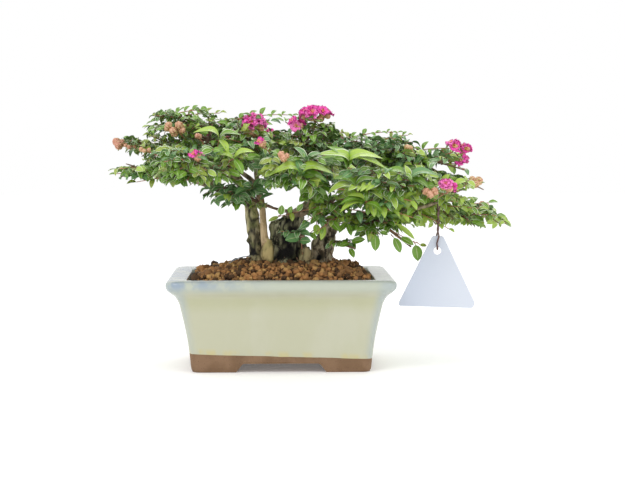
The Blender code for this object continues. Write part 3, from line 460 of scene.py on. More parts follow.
def speckled(name, dark, light, cloud, low, high, roughness, depth):
    """Two colours mixed by noise, which raises the surface too; the noise is set out as its
    scale, detail and stretch."""
    made, shader, place = new_finish(name)
    specks = noise(place, *cloud)
    join(shader, {"Base Color": mix(rise(specks, low, high), dark, light),
                  "Roughness": roughness, "Normal": relief(specks, depth)})
    return made


def pitted(name, colour, roughness, cloud, depth):
    """One colour all over, with a fine relief."""
    made, shader, place = new_finish(name)
    join(shader, {"Base Color": colour, "Roughness": roughness,
                  "Normal": relief(noise(place, *cloud), depth)})
    return made


soil_rows = []
ring_x, ring_y = rectangle_ring([SOIL_HALF], [SOIL_CORNER])
for share in np.linspace(0.0, 1.0, 42)[1:]:
    x = POT_X + ring_x[0] * share
    y = ring_y[0] * share
    place = xyz(x, y, 0.0)
    rough = 1.2 * MM * lumps(place, 5.0 * MM) + 0.6 * MM * lumps(place, 2.5 * MM)
    soil_rows.append(xyz(x, y, mound_height(x, y) - SOIL_SINK + rough))
for half, corner, height in ((88.2, 7.0, 66.0), (83.6, 6.5, 34.0), (80.2, 6.0, 15.4)):
    x, y = rectangle_ring([half * MM], [corner * MM])
    soil_rows.append(xyz(POT_X + x[0], y[0], height * MM))
soil_points, soil_faces = skin(np.array(soil_rows)[::-1])
# the grit's near-black brown is partly its own colour and partly painted shade for the gaps between granules
dress(add_mesh("soil_grit", soil_points, soil_faces, speckled(
    "clay grit", (0.03, 0.013, 0.006), (0.12, 0.055, 0.022), (420.0, 4.0), 0.4, 0.66, 0.95,
    0.002)), "soil", "soil")

GRAIN_COUNT = 2500
GRAIN_SIZES = (2.8 * MM, 7.6 * MM)
COARSE = (6.5, 8.8)                        # every so many granules, a coarse one of this size
COARSE_EVERY = 29


def grain_shape():
    """A cube's surface as a 3 by 3 grid of points a side, drawn towards a ball."""
    steps = np.linspace(-1.0, 1.0, 3)
    first, second = np.meshgrid(steps, steps, indexing="ij")
    points, faces = [], []
    for axis in range(3):
        for sign in (-1, 1):
            side = xyz(first, second * sign, sign).reshape(-1, 3)
            base = 9 * len(faces)
            corner = np.array([(0, 3, 4, 1), (1, 4, 5, 2), (3, 6, 7, 4), (4, 7, 8, 5)]) + base
            points.append(np.roll(side, axis, axis=1))
            faces.append(corner)
    points, index = np.unique(np.vstack(points), axis=0, return_inverse=True)
    ball = points / np.linalg.norm(points, axis=1)[:, None]
    return 0.5 * points * 0.8 + 0.48 * ball, index.ravel()[np.vstack(faces)]


def spread_pairs(count, start=0):
    """Pairs from 0 to 1 that fill a square evenly, in a fixed order."""
    index = np.arange(start, start + count)[:, None]
    return (index * np.array((0.7548777, 0.5698403))) % 1.0


def random_turns(rng, count):
    """Random rotation matrices, from unit quaternions drawn evenly."""
    parts = rng.normal(size=(4, count))
    w, x, y, z = parts / np.linalg.norm(parts, axis=0)
    rows = ((1 - 2 * (y * y + z * z), 2 * (x * y - z * w), 2 * (x * z + y * w)),
            (2 * (x * y + z * w), 1 - 2 * (x * x + z * z), 2 * (y * z - x * w)),
            (2 * (x * z - y * w), 2 * (y * z + x * w), 1 - 2 * (x * x + y * y)))
    return np.moveaxis(np.array(rows), -1, 0)


rng = np.random.default_rng(7)
unit_grain, grain_faces = grain_shape()
pairs = spread_pairs(GRAIN_COUNT)
size = GRAIN_SIZES[0] + (GRAIN_SIZES[1] - GRAIN_SIZES[0]) * rng.random(GRAIN_COUNT) ** 1.9
size[::COARSE_EVERY] = rng.uniform(*COARSE, len(size[::COARSE_EVERY])) * MM
half_x = SOIL_HALF - size * 0.62
half_y = half_x - POT_LONGER
grain_x = POT_X + (2.0 * pairs[:, 0] - 1.0) * half_x
grain_y = (2.0 * pairs[:, 1] - 1.0) * half_y
lift = rng.uniform(-0.55, 0.38, GRAIN_COUNT) * size
grain_z = mound_height(grain_x, grain_y) + lift - 0.2 * MM
stretch = rng.uniform(0.72, 1.15, (GRAIN_COUNT, 3))
uneven = lumps(unit_grain[None] * 1.3 + np.arange(GRAIN_COUNT)[:, None, None] * 7.1, 1.0)
own = unit_grain[None] * stretch[:, None, :] * (1.0 + 0.38 * uneven)[..., None]
own = np.einsum("nij,nkj->nki", random_turns(rng, GRAIN_COUNT), own) * (0.5 * size)[:, None, None]
grains = own + xyz(grain_x, grain_y, grain_z)[:, None, :]

GRAIN_TINTS = (
    ("ochre", (0.54, 0.31, 0.11), 0.18),
    ("rust", (0.45, 0.215, 0.075), 0.28),
    ("brown", (0.27, 0.135, 0.05), 0.3),
    ("umber", (0.09, 0.045, 0.018), 0.24),
)


dealt = np.searchsorted(np.cumsum([share for name, colour, share in GRAIN_TINTS])[:-1],
                        rng.random(GRAIN_COUNT))
for number, (name, colour, share) in enumerate(GRAIN_TINTS):
    chosen = grains[dealt == number]
    starts = np.arange(len(chosen))[:, None, None] * len(unit_grain)
    faces = (grain_faces[None] + starts).reshape(-1, 4)
    dress(add_mesh("granules_" + name, chosen, [faces], pitted(
        "granule " + name, colour, 0.92, (900.0, 4.0), 0.0009)), "soil", "soil")


# ---- old wood ----------------------------------------------------------------------------
# Five stems rise from one clump: a broad trunk, dark and hollowed, with a broken top, a rough one
# that leans right, a mossy one, a smooth young one whose bark has peeled, and a sawn-off stub.
# Their creases, hollows and ends carry painted shade.

GROUND = 101.0
ROOTED = 3.5                               # the stems go on this far down among the granules
CLEAR = 0.3
TRUNKS = (
    # name, foot, tip, bow in its middle, radii at the foot and the tip, flare at the foot
    ("trunk", (-27, 4), (-25, 6, 151), (0, 0, 0), 17.0, 15.5, 0.26),
    ("trunk_right", (6, -1), (31, 2, 164), (-4, 0, -4), 9.5, 5.2, 0.32),
    ("stem_left", (-58, 4), (-68, 0, 173), (2, 0, 0), 6.4, 4.4, 0.3),
    ("stem_front", (-47, -15), (-56, -7, 179), (1.5, -2, 0), 3.6, 2.9, 0.35),
    ("stump", (-9, -19), (-10, -19, 119), (0, 0, 0), 6.2, 5.2, 0.2),
)
LIMB_WANDER = 1.2
BOUGH_WANDER = 1.4
ALONG_GRAIN = (1.0, 1.0, 0.42)             # bark's lumps and streaks run up the stem
END_SHADE = 0.4                             # how dark the painted shade makes a stem's end points


def bowed(start, tip, bow, shares, wander=0.0, phase=0.0):
    """Straight from start to tip, pushed aside by the bow, most in the middle."""
    share = np.asarray(shares, dtype=float)[..., None]
    sway = np.concatenate((np.sin(5.1 * share + phase), np.cos(4.3 * share + phase), 0.0 * share), -1)
    swell = 4.0 * share * (1.0 - share)
    start, tip, bow = floats(start, tip, bow)
    return start + (tip - start) * share + (bow + sway * wander) * swell


def floats(*values):
    """Each of the values as an array of floats."""
    return [np.array(value, dtype=float) for value in values]


def unit(vectors):
    """The same directions with a length of one."""
    return vectors / np.linalg.norm(vectors, axis=-1, keepdims=True)


def tubes(paths, radii, sides, swell=None):
    """Rings square to each path, as wide as its radii times the swell, with a fan at each end."""
    count, steps = paths.shape[:2]
    ahead = unit(np.gradient(paths, axis=1))
    least = np.argmin(np.abs(paths[:, -1] - paths[:, 0]), axis=-1)
    side = unit(np.cross(ahead, np.eye(3)[least][:, None, :]))
    across = np.cross(ahead, side)
    turn = full_turn(sides)[:, None]
    ring = side[:, :, None] * np.cos(turn) + across[:, :, None] * np.sin(turn)
    reach = radii[..., None] * (np.ones(sides) if swell is None else swell)
    rows = paths[:, :, None] + ring * reach[..., None]
    points = np.concatenate((rows.reshape(count, -1, 3), paths[:, :1], paths[:, -1:]), axis=1)
    return points, tube_faces(count, steps, sides)


class Limb:
    """A stem or bough: its line, its radii, and the place and heading at any share of it."""

    def __init__(self, start, tip, bow, wander, phase, base, end, flare=0.0, lobes=0.0):
        self.line = (start, tip, bow, wander, phase)
        self.radii = (base, end)
        self.flare = flare
        self.lobes = lobes

    def at(self, share):
        start, tip, bow, wander, phase = self.line
        return bowed(start, tip, bow, share, wander, phase)

    def heading(self, share=1.0):
        return unit(self.at(share) - self.at(share - 0.12))

    def radius(self, share):
        return self.radii[0] + (self.radii[1] - self.radii[0]) * np.asarray(share)


def add_tubes(name, paths, radii, sides, surface, slot, *nodes):
    """One dressed piece from paths and radii in mm."""
    points, faces = tubes(paths * MM, radii * MM, sides)
    dress(add_mesh(name, points, faces, surface), slot, *nodes)


limbs = {}
for name, foot, tip, bow, base, end, flare in TRUNKS:
    start = (*foot, GROUND + CLEAR)
    limbs[name] = Limb(start, tip, bow, LIMB_WANDER, len(limbs), base, end, flare, 0.7 * len(name))


def bark_group():
    """Bark as one effect: light and dark wood in long streaks, with moss, and painted shade, near black,
    where its marks put creases, hollows and ends.
    """
    group = bpy.data.node_groups.new("bark", "ShaderNodeTree")
    for name, kind in (("Place", "Vector"), ("Painted Shade", "Float"), ("Light", "Color"),
                       ("Dark", "Color"), ("Moss", "Color"), ("Mossiness", "Float"),
                       ("Fineness", "Float")):
        group.interface.new_socket(name=name, in_out="INPUT", socket_type="NodeSocket" + kind)
    for name, kind in (("Color", "Color"), ("Height", "Float")):
        group.interface.new_socket(name=name, in_out="OUTPUT", socket_type="NodeSocket" + kind)
    given = group.nodes.new("NodeGroupInput").outputs
    place, light, fineness = given["Place"], given["Light"], given["Fineness"]
    streaks = noise(place, times(fineness, 110.0), 5.0, ALONG_GRAIN)
    flakes = noise(place, times(fineness, 260.0), 4.0, (1.0, 1.0, 0.5), 0.4)
    growth = rise(noise(place, 85.0, 4.0, shift=2.0), 0.42, 0.66)
    wood = mix(rise(streaks, 0.36, 0.64), given["Dark"], light)
    wood = mix(times(rise(flakes, 0.52, 0.66), 0.75), wood, light)
    wood = mix(times(growth, given["Mossiness"]), wood, given["Moss"])
    # painted shade: near black where the marks put creases, hollows and stem ends
    wood = mix(given["Painted Shade"], wood, (0.006, 0.005, 0.004))
    join(group.nodes.new("NodeGroupOutput"),
         {"Color": wood, "Height": plus(streaks, times(flakes, 0.6))})
    return group


bark = bark_group()


def marked(shader, name):
    """The value that is stored under a name at each point of the piece."""
    node = shader.id_data.nodes.new("ShaderNodeAttribute")
    node.attribute_name = name
    return node.outputs["Fac"]


def mark(made, name, values):
    """Store a value for each point of a piece, for its finish."""
    layer = made.data.attributes.new(name, "FLOAT", "POINT")
    layer.data.foreach_set("value", values.ravel().astype(np.float32))


def bark_finish(name, light, dark, moss, mossiness, fineness, depth=0.0012, roughness=0.85):
    """The bark effect with one stem's own colours."""
    made, shader, place = new_finish(name)
    effect = shader.id_data.nodes.new("ShaderNodeGroup")
    effect.node_tree = bark
    join(effect, {"Place": place, "Painted Shade": marked(shader, "painted_shade"), "Light": light,
                  "Dark": dark, "Moss": moss, "Mossiness": mossiness, "Fineness": fineness})
    join(shader, {"Base Color": effect.outputs["Color"], "Roughness": roughness,
                  "Normal": relief(effect.outputs["Height"], depth)})
    return made


def spot(points, x, y, z, size, sharpness):
    """How near points are to a spot's middle: 1 there, fading out over its size in mm."""
    away = np.linalg.norm((points - np.array((x, y, z)) * MM) / (size * MM), axis=-1)
    return np.exp(-away ** 2 * sharpness)


def trunk_shape(limb, rows, sides, knob, crease, hollows=(), knobs=(), broken=()):
    """A rooted stem's skin: the tapering, flared and fluted section, plus broad lumps of noise,
    less narrow creases that run up it, less each of its hollows and plus each knob, which are round
    dents and bumps that fade out from their middles. What stands above the line of a broken
    top, which is a height and a slope along x, is pressed down to it. It also gives painted shade
    for each point: dark in the creases, darker in the hollows and at the two ends."""
    share = np.linspace(-ROOTED / (limb.at(1.0)[2] - GROUND), 1.0, rows)
    path = limb.at(share) * MM
    turn = full_turn(sides)
    low = (1.0 - np.clip(share, 0.0, 1.0))[:, None] ** 3
    flutes = 0.5 * np.cos(3 * turn + limb.lobes) + 0.3 * np.cos(5 * turn - limb.lobes)
    swell = 1.0 + limb.flare * low * (1.0 + 0.45 * flutes) + 0.05 * limb.flare * flutes
    radii = limb.radius(np.clip(share, 0.0, 1.0)) * MM
    radii[-1] *= 0.55
    radii[-2] *= 0.93
    smooth = tubes(path[None], radii[None], sides, swell[None])[0][0, :rows * sides]
    grained = smooth * ALONG_GRAIN
    bumps = 0.6 * lumps(grained, 8 * MM, limb.lobes) + 0.4 * lumps(grained, 3.6 * MM, 9.0)
    lines = np.abs(lumps(grained, 5.5 * MM, 4.0 + limb.lobes))
    creases = np.exp(-(lines / 0.16) ** 2)
    change = knob * bumps - crease * creases + 0.25 * crease * lumps(grained, 1.5 * MM)
    # painted shade: darkness in the creases, then in each hollow below
    dark = 0.85 * creases * min(1.0, crease / 0.8)
    for *place, depth in hollows:
        dent = spot(smooth, *place, 1.6)
        change = change - depth * dent
        dark = dark + 1.6 * dent
    for *place, height in knobs:
        change = change + height * spot(smooth, *place, 2.0)
    swell = swell + (change * MM).reshape(rows, sides) / radii[:, None]
    points, faces = tubes(path[None], radii[None], sides, swell[None])
    if broken:
        flat = points * (1.0, 1.0, 0.0)
        edge = broken[0] + broken[1] * points[..., 0] + 3.5 * MM * lumps(flat, 6 * MM)
        over = np.clip(points[..., 2] - edge, 0.0, None)
        points[..., 2] -= 0.85 * over
    return points, faces, np.append(dark, (END_SHADE, END_SHADE))


MOSS = (0.18, 0.21, 0.055)
STEM_LOOKS = (
    # stem, rows, sides, lumps and creases in mm, light, dark, mossiness, fineness
    ("trunk", 110, 110, 2.4, 2.0, (0.56, 0.54, 0.34), (0.008, 0.007, 0.004), 0.45, 1.9),
    ("trunk_right", 110, 72, 1.3, 1.2, (0.72, 0.6, 0.41), (0.09, 0.066, 0.038), 0.16, 1.9),
    ("stem_left", 110, 56, 0.9, 0.8, (0.66, 0.58, 0.33), (0.03, 0.025, 0.012), 0.6, 2.0),
    ("stem_front", 90, 36, 0.18, 0.0, (0.64, 0.47, 0.26), (0.36, 0.24, 0.115), 0.06, 1.4),
    ("stump", 40, 48, 0.7, 0.5, (0.47, 0.385, 0.2), (0.11, 0.08, 0.04), 0.2, 1.2),
)
# hollows and knobs, in mm: x, y, z, size, depth or height
HOLLOWS = {
    "trunk": ((-30, -14, 128, 9, 6.5), (-24, -16, 114, 9, 6.0), (-36, -12, 110, 7, 4.5),
              (-16, -12, 136, 7, 4.5), (-12, -14, 122, 7, 4.0), (-27, 14, 120, 9, 4.5),
              (-10, 12, 132, 8, 4.0), (-24, -6, 146, 7, 3.5)),
    "trunk_right": ((4, -12, 108, 5, 3.4), (8, -12, 126, 4, 2.6), (18, -9, 116, 4, 2.4)),
    "stem_left": ((-62, -3, 112, 4, 1.2),),
}
KNOBS = {
    "trunk": ((-42, -2, 138, 10, 4.5), (-42, -2, 124, 10, 4.0), (-26, -14, 106, 6, 3.0),
              (-33, 2, 146, 8, 3.0), (-8, -8, 145, 7, 2.5)),
    "trunk_right": ((7, -4, 120, 13, 7.0), (12, -4, 136, 10, 4.0), (20, -4, 142, 5, 2.2),
                    (12, -9, 118, 6, 2.4), (33, -2, 160, 5, 2.4)),
    "stem_left": ((-60, -3, 162, 9, 3.6), (-59, -3, 149, 10, 5.2), (-57, -3, 135, 10, 5.0),
                  (-56, -4, 120, 9, 3.2), (-66, 2, 124, 4.0, 2.8), (-64, 1, 106, 4.5, 2.6),
                  (-60, -5, 140, 6, 1.4), (-70, 0, 168, 5, 1.8)),
    "stem_front": ((-49, -16, 140, 4, 1.2), (-56, -9, 169, 4, 1.6), (-47, -19, 126, 6, 1.8)),
}
BROKEN_TOP = {"trunk": (152.5 * MM, 0.22)}
for name, rows, sides, knob, crease, light, dark, mossiness, fineness in STEM_LOOKS:
    points, faces, painted_shade = trunk_shape(limbs[name], rows, sides, knob, crease,
                                        HOLLOWS.get(name, ()), KNOBS.get(name, ()),
                                        BROKEN_TOP.get(name, ()))
    depth, roughness = (0.0024, 0.85) if crease else (0.0004, 0.55)
    stem = add_mesh("wood_" + name, points, faces, bark_finish(
        name + " bark", light, dark, MOSS, mossiness, fineness, depth, roughness))
    # stores the painted shade for the bark's finish
    mark(stem, "painted_shade", np.clip(painted_shade, 0.0, 1.0))
    dress(stem, "bark", name)

BURL = ((-46.8, -17.0, 115.0), (6.2, 5.6, 13.5))
turn = full_turn(40)
level = np.linspace(-0.999, 0.999, 30)[:, None]
flat = np.sqrt(1.0 - level ** 2)
ball = xyz(flat * np.cos(turn), flat * np.sin(turn), level)
ball = ball * (1.0 + 0.16 * lumps(ball, 0.7)[..., None] + 0.09 * lumps(ball, 0.3)[..., None])
points, faces = skin((ball * BURL[1] + BURL[0]) * MM)
burl = add_mesh("wood_burl", points, faces, bark_finish(
    "burl bark", (0.56, 0.45, 0.2), (0.15, 0.11, 0.045), (0.26, 0.26, 0.08), 0.4, 1.5))
mark(burl, "painted_shade", np.zeros(len(points)))
dress(burl, "bark", "stem_front")


# ---- boughs ------------------------------------------------------------------------------
# Each bough leaves a stem or another bough inside it, tapers evenly and ends where it enters
# its mass of foliage. Their bark is grey-brown, thin and slightly wrinkled.

BOUGHS = (
    # name, carrier, share where it starts, tip, bow, radii at the start and the tip
    ("left_low", "stem_left", 0.97, (-139, -12, 193), (0, 0, -3), 3.9, 2.2),
    ("left_top", "stem_left", 0.97, (-104, 2, 221), (-4, 0, 4), 3.6, 2.2),
    ("left_back", "stem_left", 0.86, (-88, 45, 198), (4, 4, 3), 3.4, 2.0),
    ("left_tip", "left_low", 0.45, (-141, 20, 213), (3, 6, 2), 2.4, 1.7),
    ("left_front", "stem_front", 0.97, (-90, -46, 199), (4, -5, 4), 2.6, 1.7),
    ("left_inner", "stem_front", 0.97, (-65, -9, 216), (2, 0, 0), 2.5, 1.7),
    ("centre_top", "trunk", 0.94, (-8, 1, 213), (19, 3, -6), 4.6, 2.2),
    ("centre_front", "trunk", 0.92, (-14, -46, 190), (21, -4, -4), 3.8, 2.0),
    ("centre_back", "trunk", 0.94, (-13, 46, 196), (16, 4, -4), 4.4, 2.2),
    ("right_top", "trunk_right", 0.97, (46, 5, 206), (-3, 0, 2), 3.8, 2.0),
    ("right_front", "trunk_right", 0.92, (52, -48, 181), (5, -4, -3), 3.6, 1.9),
    ("right_back", "trunk_right", 0.92, (52, 48, 189), (4, 5, -2), 3.6, 1.9),
    ("right_mid", "trunk_right", 0.98, (86, 4, 197), (2, 0, 2), 3.6, 2.0),
    ("right_low", "trunk_right", 0.8, (76, -14, 158), (0, -2, -3), 3.8, 2.2),
    ("right_tip", "right_low", 0.62, (138, 14, 152), (0, 6, -4), 2.8, 1.8),
    ("tag", "right_low", 0.8, (121, -58, 167), (6, -8, -2), 2.2, 1.6),
    ("hanging", "right_low", 0.45, (68, -28, 144), (4, -4, 3), 2.0, 1.5),
    ("cross", "trunk_right", 0.7, (-27, -20, 155), (2, -11, 4), 3.2, 1.8),
)
CROSS_THIN = 0.5                           # the low cross bough is no thicker than a twig
BOUGH_ROWS = 44
BOUGH_SIDES = 18
for name, carrier, share, tip, bow, base, end in BOUGHS:
    limbs[name] = Limb(limbs[carrier].at(share), tip, bow, BOUGH_WANDER, len(limbs), base, end)

bough_names = [row[0] for row in BOUGHS]   # their solids' names have bough_ before
shares = np.linspace(0.0, 1.0, BOUGH_ROWS)
bough_paths = np.array([limbs[name].at(shares) for name in bough_names]) * MM
bough_radii = np.array([limbs[name].radius(shares) for name in bough_names]) * MM
bough_radii[bough_names.index("cross")] *= CROSS_THIN
around = tubes(bough_paths, bough_radii, BOUGH_SIDES)[0][:, :BOUGH_ROWS * BOUGH_SIDES]
wrinkles = 0.1 * lumps(around, 5 * MM) + 0.06 * lumps(around, 2 * MM, 3.0)
points, faces = tubes(bough_paths, bough_radii, BOUGH_SIDES,
                      1.0 + wrinkles.reshape(len(BOUGHS), BOUGH_ROWS, BOUGH_SIDES))
boughs = add_mesh("wood_boughs", points, faces, bark_finish(
    "bough bark", (0.46, 0.36, 0.24), (0.11, 0.078, 0.048), (0.16, 0.18, 0.06), 0.25, 1.6,
    0.0007))
mark(boughs, "painted_shade", np.zeros(len(boughs.data.vertices)))
dress(boughs, "bark", *("bough_" + name for name in bough_names))


# ---- twigs and shoots --------------------------------------------------------------------
# Every mass of foliage grows from the tip of its bough or the side of a stem: one stem through
# it, twigs that fan out to fill its room evenly, and leafy shoots on each side of a twig in turn.

MASSES = (
    # name, carrier, share where it starts, middle, half sizes, leaf length, tint, share of it
    ("left_tip_low", "left_low", 1, (-165, -16, 196), (39.5, 38, 18), 13.0, "mid", 0.4),
    ("left_tip_high", "left_tip", 1, (-164, 28, 218), (38, 36, 17), 11.0, "olive", 0.4),
    ("left_top", "left_top", 1, (-122, 4, 239), (50, 50, 23), 10.5, "mid", 0.4),
    ("left_front", "left_front", 1, (-112, -70, 205), (50, 50, 24), 12.5, "mid", 0.35),
    ("left_back", "left_back", 1, (-106, 70, 210), (54, 51, 25), 14.0, "mid", 0.4),
    ("left_inner", "left_inner", 1, (-64, -8, 232), (38, 50, 26), 13.0, "mid", 0.4),
    ("left_low", "stem_front", 0.78, (-78, -32, 174), (32, 34, 16), 14.5, "blue", 0.4),
    ("centre_front", "centre_front", 1, (-16, -70, 197), (52, 50, 25), 13.5, "mid", 0.35),
    ("centre_top", "centre_top", 1, (-4, 0, 230), (42, 48, 26), 12.0, "mid", 0.4),
    ("centre_back", "centre_back", 1, (-12, 70, 209), (54, 51, 26), 14.5, "deep", 0.4),
    ("right_top", "right_top", 1, (58, 4, 216), (48, 50, 22), 12.5, "blue", 0.4),
    ("right_front", "right_front", 1, (64, -70, 184), (52, 50, 24), 13.5, "fresh", 0.28),
    ("right_back", "right_back", 1, (66, 70, 198), (56, 51, 25), 14.5, "mid", 0.4),
    ("right_mid", "right_mid", 1, (115, 2, 201), (50, 50, 21), 13.5, "blue", 0.4),
    ("right_low", "right_low", 1, (108, -16, 157), (42, 44, 19), 13.5, "fresh", 0.6),
    ("right_tip", "right_tip", 1, (164, 14, 150), (42, 36, 15), 13.5, "fresh", 0.6),
    ("tag_shoot", "tag", 1, (138, -60, 180), (36, 34, 16), 13.0, "fresh", 0.65),
    ("hanging", "hanging", 1, (86, -38, 128), (31, 28, 22), 12.0, "mid", 0.6),
    ("right_inner", "trunk_right", 0.78, (16, -36, 164), (30, 30, 18), 14.5, "mid", 0.4),
    ("right_under", "trunk_right", 0.62, (56, -30, 144), (34, 28, 16), 14.5, "mid", 0.4),
    ("cross", "cross", 1, (-42, -28, 159), (22, 22, 15), 11.0, "olive", 0.5),
    ("sprig", "trunk", 0.55, (-16, -38, 131), (20, 20, 15), 14.0, "blue", 0.9),
    ("sprig_right", "trunk_right", 0.45, (31, -28, 121), (19, 19, 14), 11.0, "mid", 0.5),
)
MASS_NAMES = ["foliage_" + row[0] for row in MASSES]
SPARSE = {"hanging": 0.14, "cross": 0.4, "sprig": 0.18,
          "sprig_right": 0.7, "right_tip": 0.8, "left_low": 0.8}
STEM_STRAIGHT = 4.0
STEM_PAST = 0.45
TWIG_BACK = 13.0
TWIG_STEPS = 7
TWIG_REACH = (0.55, 0.93)                  # how far out in the mass's room twigs end
BARE_CUT = 0.78                            # a twig that ends in a gap is cut back to this share
AREA_PER_TWIG = 440.0                      # square mm of a mass's plan
TWIGS_LEAST = 4                            # a full mass has this many, a sparse one as few as 1
SHOOTS = ((0.3, 1), (0.44, -1), (0.58, 1), (0.72, -1), (0.88, 1))
SHOOT_LENGTH = (11.0, 24.0)
SHOOT_STEPS = 5
SWARM_SEED = 11
UP = np.array((0.0, 0.0, 1.0))


def even_directions(count):
    """Directions dealt out evenly over a ball, by two steps that never fall into line."""
    pairs = spread_pairs(count, 1)
    level = 1.9 * pairs[:, 0] - 0.95
    angle = math.tau * pairs[:, 1]
    flat = np.sqrt(1.0 - level ** 2)
    return xyz(flat * np.cos(angle), flat * np.sin(angle), level)


def arcs(starts, ends, lift, steps, rng, wander=0.06):
    """Quadratic curves from starts to ends whose middles are lifted and shaken sideways."""
    length = np.linalg.norm(ends - starts, axis=-1, keepdims=True)
    shake = rng.uniform(-1.0, 1.0, starts.shape) * wander * length
    middles = 0.5 * (starts + ends) + shake + UP * lift * length
    share = np.linspace(0.0, 1.0, steps)[None, :, None]
    return ((1 - share) ** 2 * starts[:, None] + 2 * share * (1 - share) * middles[:, None]
            + share ** 2 * ends[:, None])


def along(paths, share):
    """The points at a share of each path's length."""
    place = np.broadcast_to(np.asarray(share, dtype=float), paths.shape[:1]) * (paths.shape[1] - 1)
    low = np.minimum(place.astype(int), paths.shape[1] - 2)
    part = (place - low)[:, None]
    index = np.arange(len(paths))
    return paths[index, low] * (1.0 - part) + paths[index, low + 1] * part


stems, twigs, twig_mass, shoots, shoot_mass = [], [], [], [], []
rng = np.random.default_rng(SWARM_SEED)
for number, (name, carrier, share, centre, half, *_) in enumerate(MASSES):
    centre, half = floats(centre, half)
    start = limbs[carrier].at(share)
    if share == 1:
        first = start + limbs[carrier].heading() * STEM_STRAIGHT
    else:
        first = start + (centre - start) * 0.3
    far = centre + (centre - start) * STEM_PAST
    spine = np.array([start, first] + [first + (far - first) * step / 3.0 for step in (1, 2, 3)])
    stems.append(spine)
    wanted = math.pi * half[0] * half[1] / AREA_PER_TWIG * SPARSE.get(name, 1.0)
    count = max(1 if name in SPARSE else TWIGS_LEAST, round(wanted))
    reach = np.linspace(*TWIG_REACH, count)[rng.permutation(count)][:, None]
    targets = centre + even_directions(count) * half * reach
    axis = spine[-1] - spine[0]
    length = np.linalg.norm(axis)
    leave = ((targets - spine[0]) @ axis / length - TWIG_BACK) / length
    leave = np.clip(leave + rng.uniform(-0.08, 0.08, count), 0.12, 0.95)
    starts = along(np.repeat(spine[None], count, axis=0), leave)
    paths = arcs(starts, targets, 0.1, TWIG_STEPS, rng)
    twigs.append(paths)
    twig_mass.append(np.full(count, number))
    shoots.append(paths[:, [-3, -2, -1]][:, [0, 1, 1, 2, 2]])
    shoot_mass.append(np.full(count, number))
    heading = unit(paths[:, -1] - paths[:, 0])
    sideways = unit(np.cross(heading, UP) + (1e-6, 0.0, 0.0))
    for share, sign in SHOOTS:
        way = (heading * rng.uniform(0.5, 1.0, (count, 1)) + sign * sideways
               + UP * rng.uniform(-0.45, 0.3, (count, 1)))
        root = along(paths, np.clip(share + rng.uniform(-0.07, 0.07, count), 0.0, 1.0))
        end = root + unit(way) * rng.uniform(*SHOOT_LENGTH, (count, 1)) * min(1.0, half[0] / 40)
        shoots.append(arcs(root, end, 0.05, SHOOT_STEPS, rng))
        shoot_mass.append(np.full(count, number))

shoots, shoot_mass, twigs, twig_mass = (
    np.concatenate(parts) for parts in (shoots, shoot_mass, twigs, twig_mass))
centres, halves = floats([row[3] for row in MASSES], [row[4] for row in MASSES])
cad_low, cad_high = np.array(cad_box) / MM
# the crown's upper and lower outline as it shows from the eye's place: x and height
CROWN_TOP = np.array((
    (-206, 204), (-198, 229), (-178, 234), (-168, 246), (-156, 260), (-110, 261), (-98, 252),
    (-88, 245), (-70, 253), (-20, 256), (-8, 259), (16, 259), (24, 236), (50, 234), (90, 234),
    (97, 224), (128, 219), (146, 218), (152, 206), (158, 190), (168, 174), (178, 160), (190, 150),
    (206, 144),
))
CROWN_UNDER = np.array((
    (-206, 187), (-170, 188), (-150, 181), (-116, 179), (-106, 164), (-92, 156), (-74, 149),
    (-64, 156), (-52, 174), (-14, 172), (-8, 140), (2, 120), (40, 128), (52, 138), (100, 138),
    (126, 136), (150, 140), (180, 136), (206, 134),
))
# where the sky shows through: x, height and the half sizes of each gap, on the same plane
SKY = np.array((
    (-34, 239, 13, 4.5), (-188, 204, 16, 6.5), (137, 198.5, 17, 6), (160, 171.5, 15, 6),
    (-41, 155, 9, 8), (82, 112, 15, 14), (48, 119, 6, 9), (30, 106, 14, 8),
))
HANGS_LOWER = ("cross", "sprig", "sprig_right", "right_under", "left_low")
hangs_lower = np.isin([row[0] for row in MASSES], HANGS_LOWER)


def in_room(points, owner, stretch):
    """Whether points lie in the ellipsoid of the mass that owns them, grown by the stretch."""
    away = (points - centres[owner]) / (halves[owner] * stretch)
    return (away ** 2).sum(axis=-1) < 1.0


def in_box(points, margin=0.0):
    """Whether points lie inside the whole plant's box by a margin."""
    return ((points > cad_low + margin) & (points < cad_high - margin)).all(axis=-1)


def in_outline(points, owner):
    """Whether points lie between the crown's upper and lower outline, drawn from the eye on to
    the upright plane through the plant's middle."""
    eye = np.array(EYE) / MM
    flat = eye + (points - eye) * (-eye[1] / (points[..., 1:2] - eye[1]))
    below_top = flat[..., 2] < np.interp(flat[..., 0], CROWN_TOP[:, 0], CROWN_TOP[:, 1])
    above = flat[..., 2] > np.interp(flat[..., 0], CROWN_UNDER[:, 0], CROWN_UNDER[:, 1])
    away = (flat[..., None, ::2] - SKY[:, :2]) / SKY[:, 2:]
    covered = ((away ** 2).sum(axis=-1) > 1.0).all(axis=-1)
    return below_top & covered & (above | hangs_lower[owner])


kept = (in_room(shoots[:, -1], shoot_mass, 1.08) & in_box(shoots[:, -1], 6.0)
        & in_outline(shoots[:, -1], shoot_mass))
shoots, shoot_mass = shoots[kept], shoot_mass[kept]
bare = ~in_outline(twigs[:, -1], twig_mass)
shares = np.linspace(0.0, 1.0, TWIG_STEPS)
twigs[bare] = np.stack([along(twigs, BARE_CUT * share) for share in shares], axis=1)[bare]


# ---- leaves ------------------------------------------------------------------------------
# Leathery leaves on short stalks, on each side of the shoot in turn, folded a little along a
# pale midrib and arched down to a point. Old ones are deep or bluish green, young ones lime,
# and more than half have a pale edge.

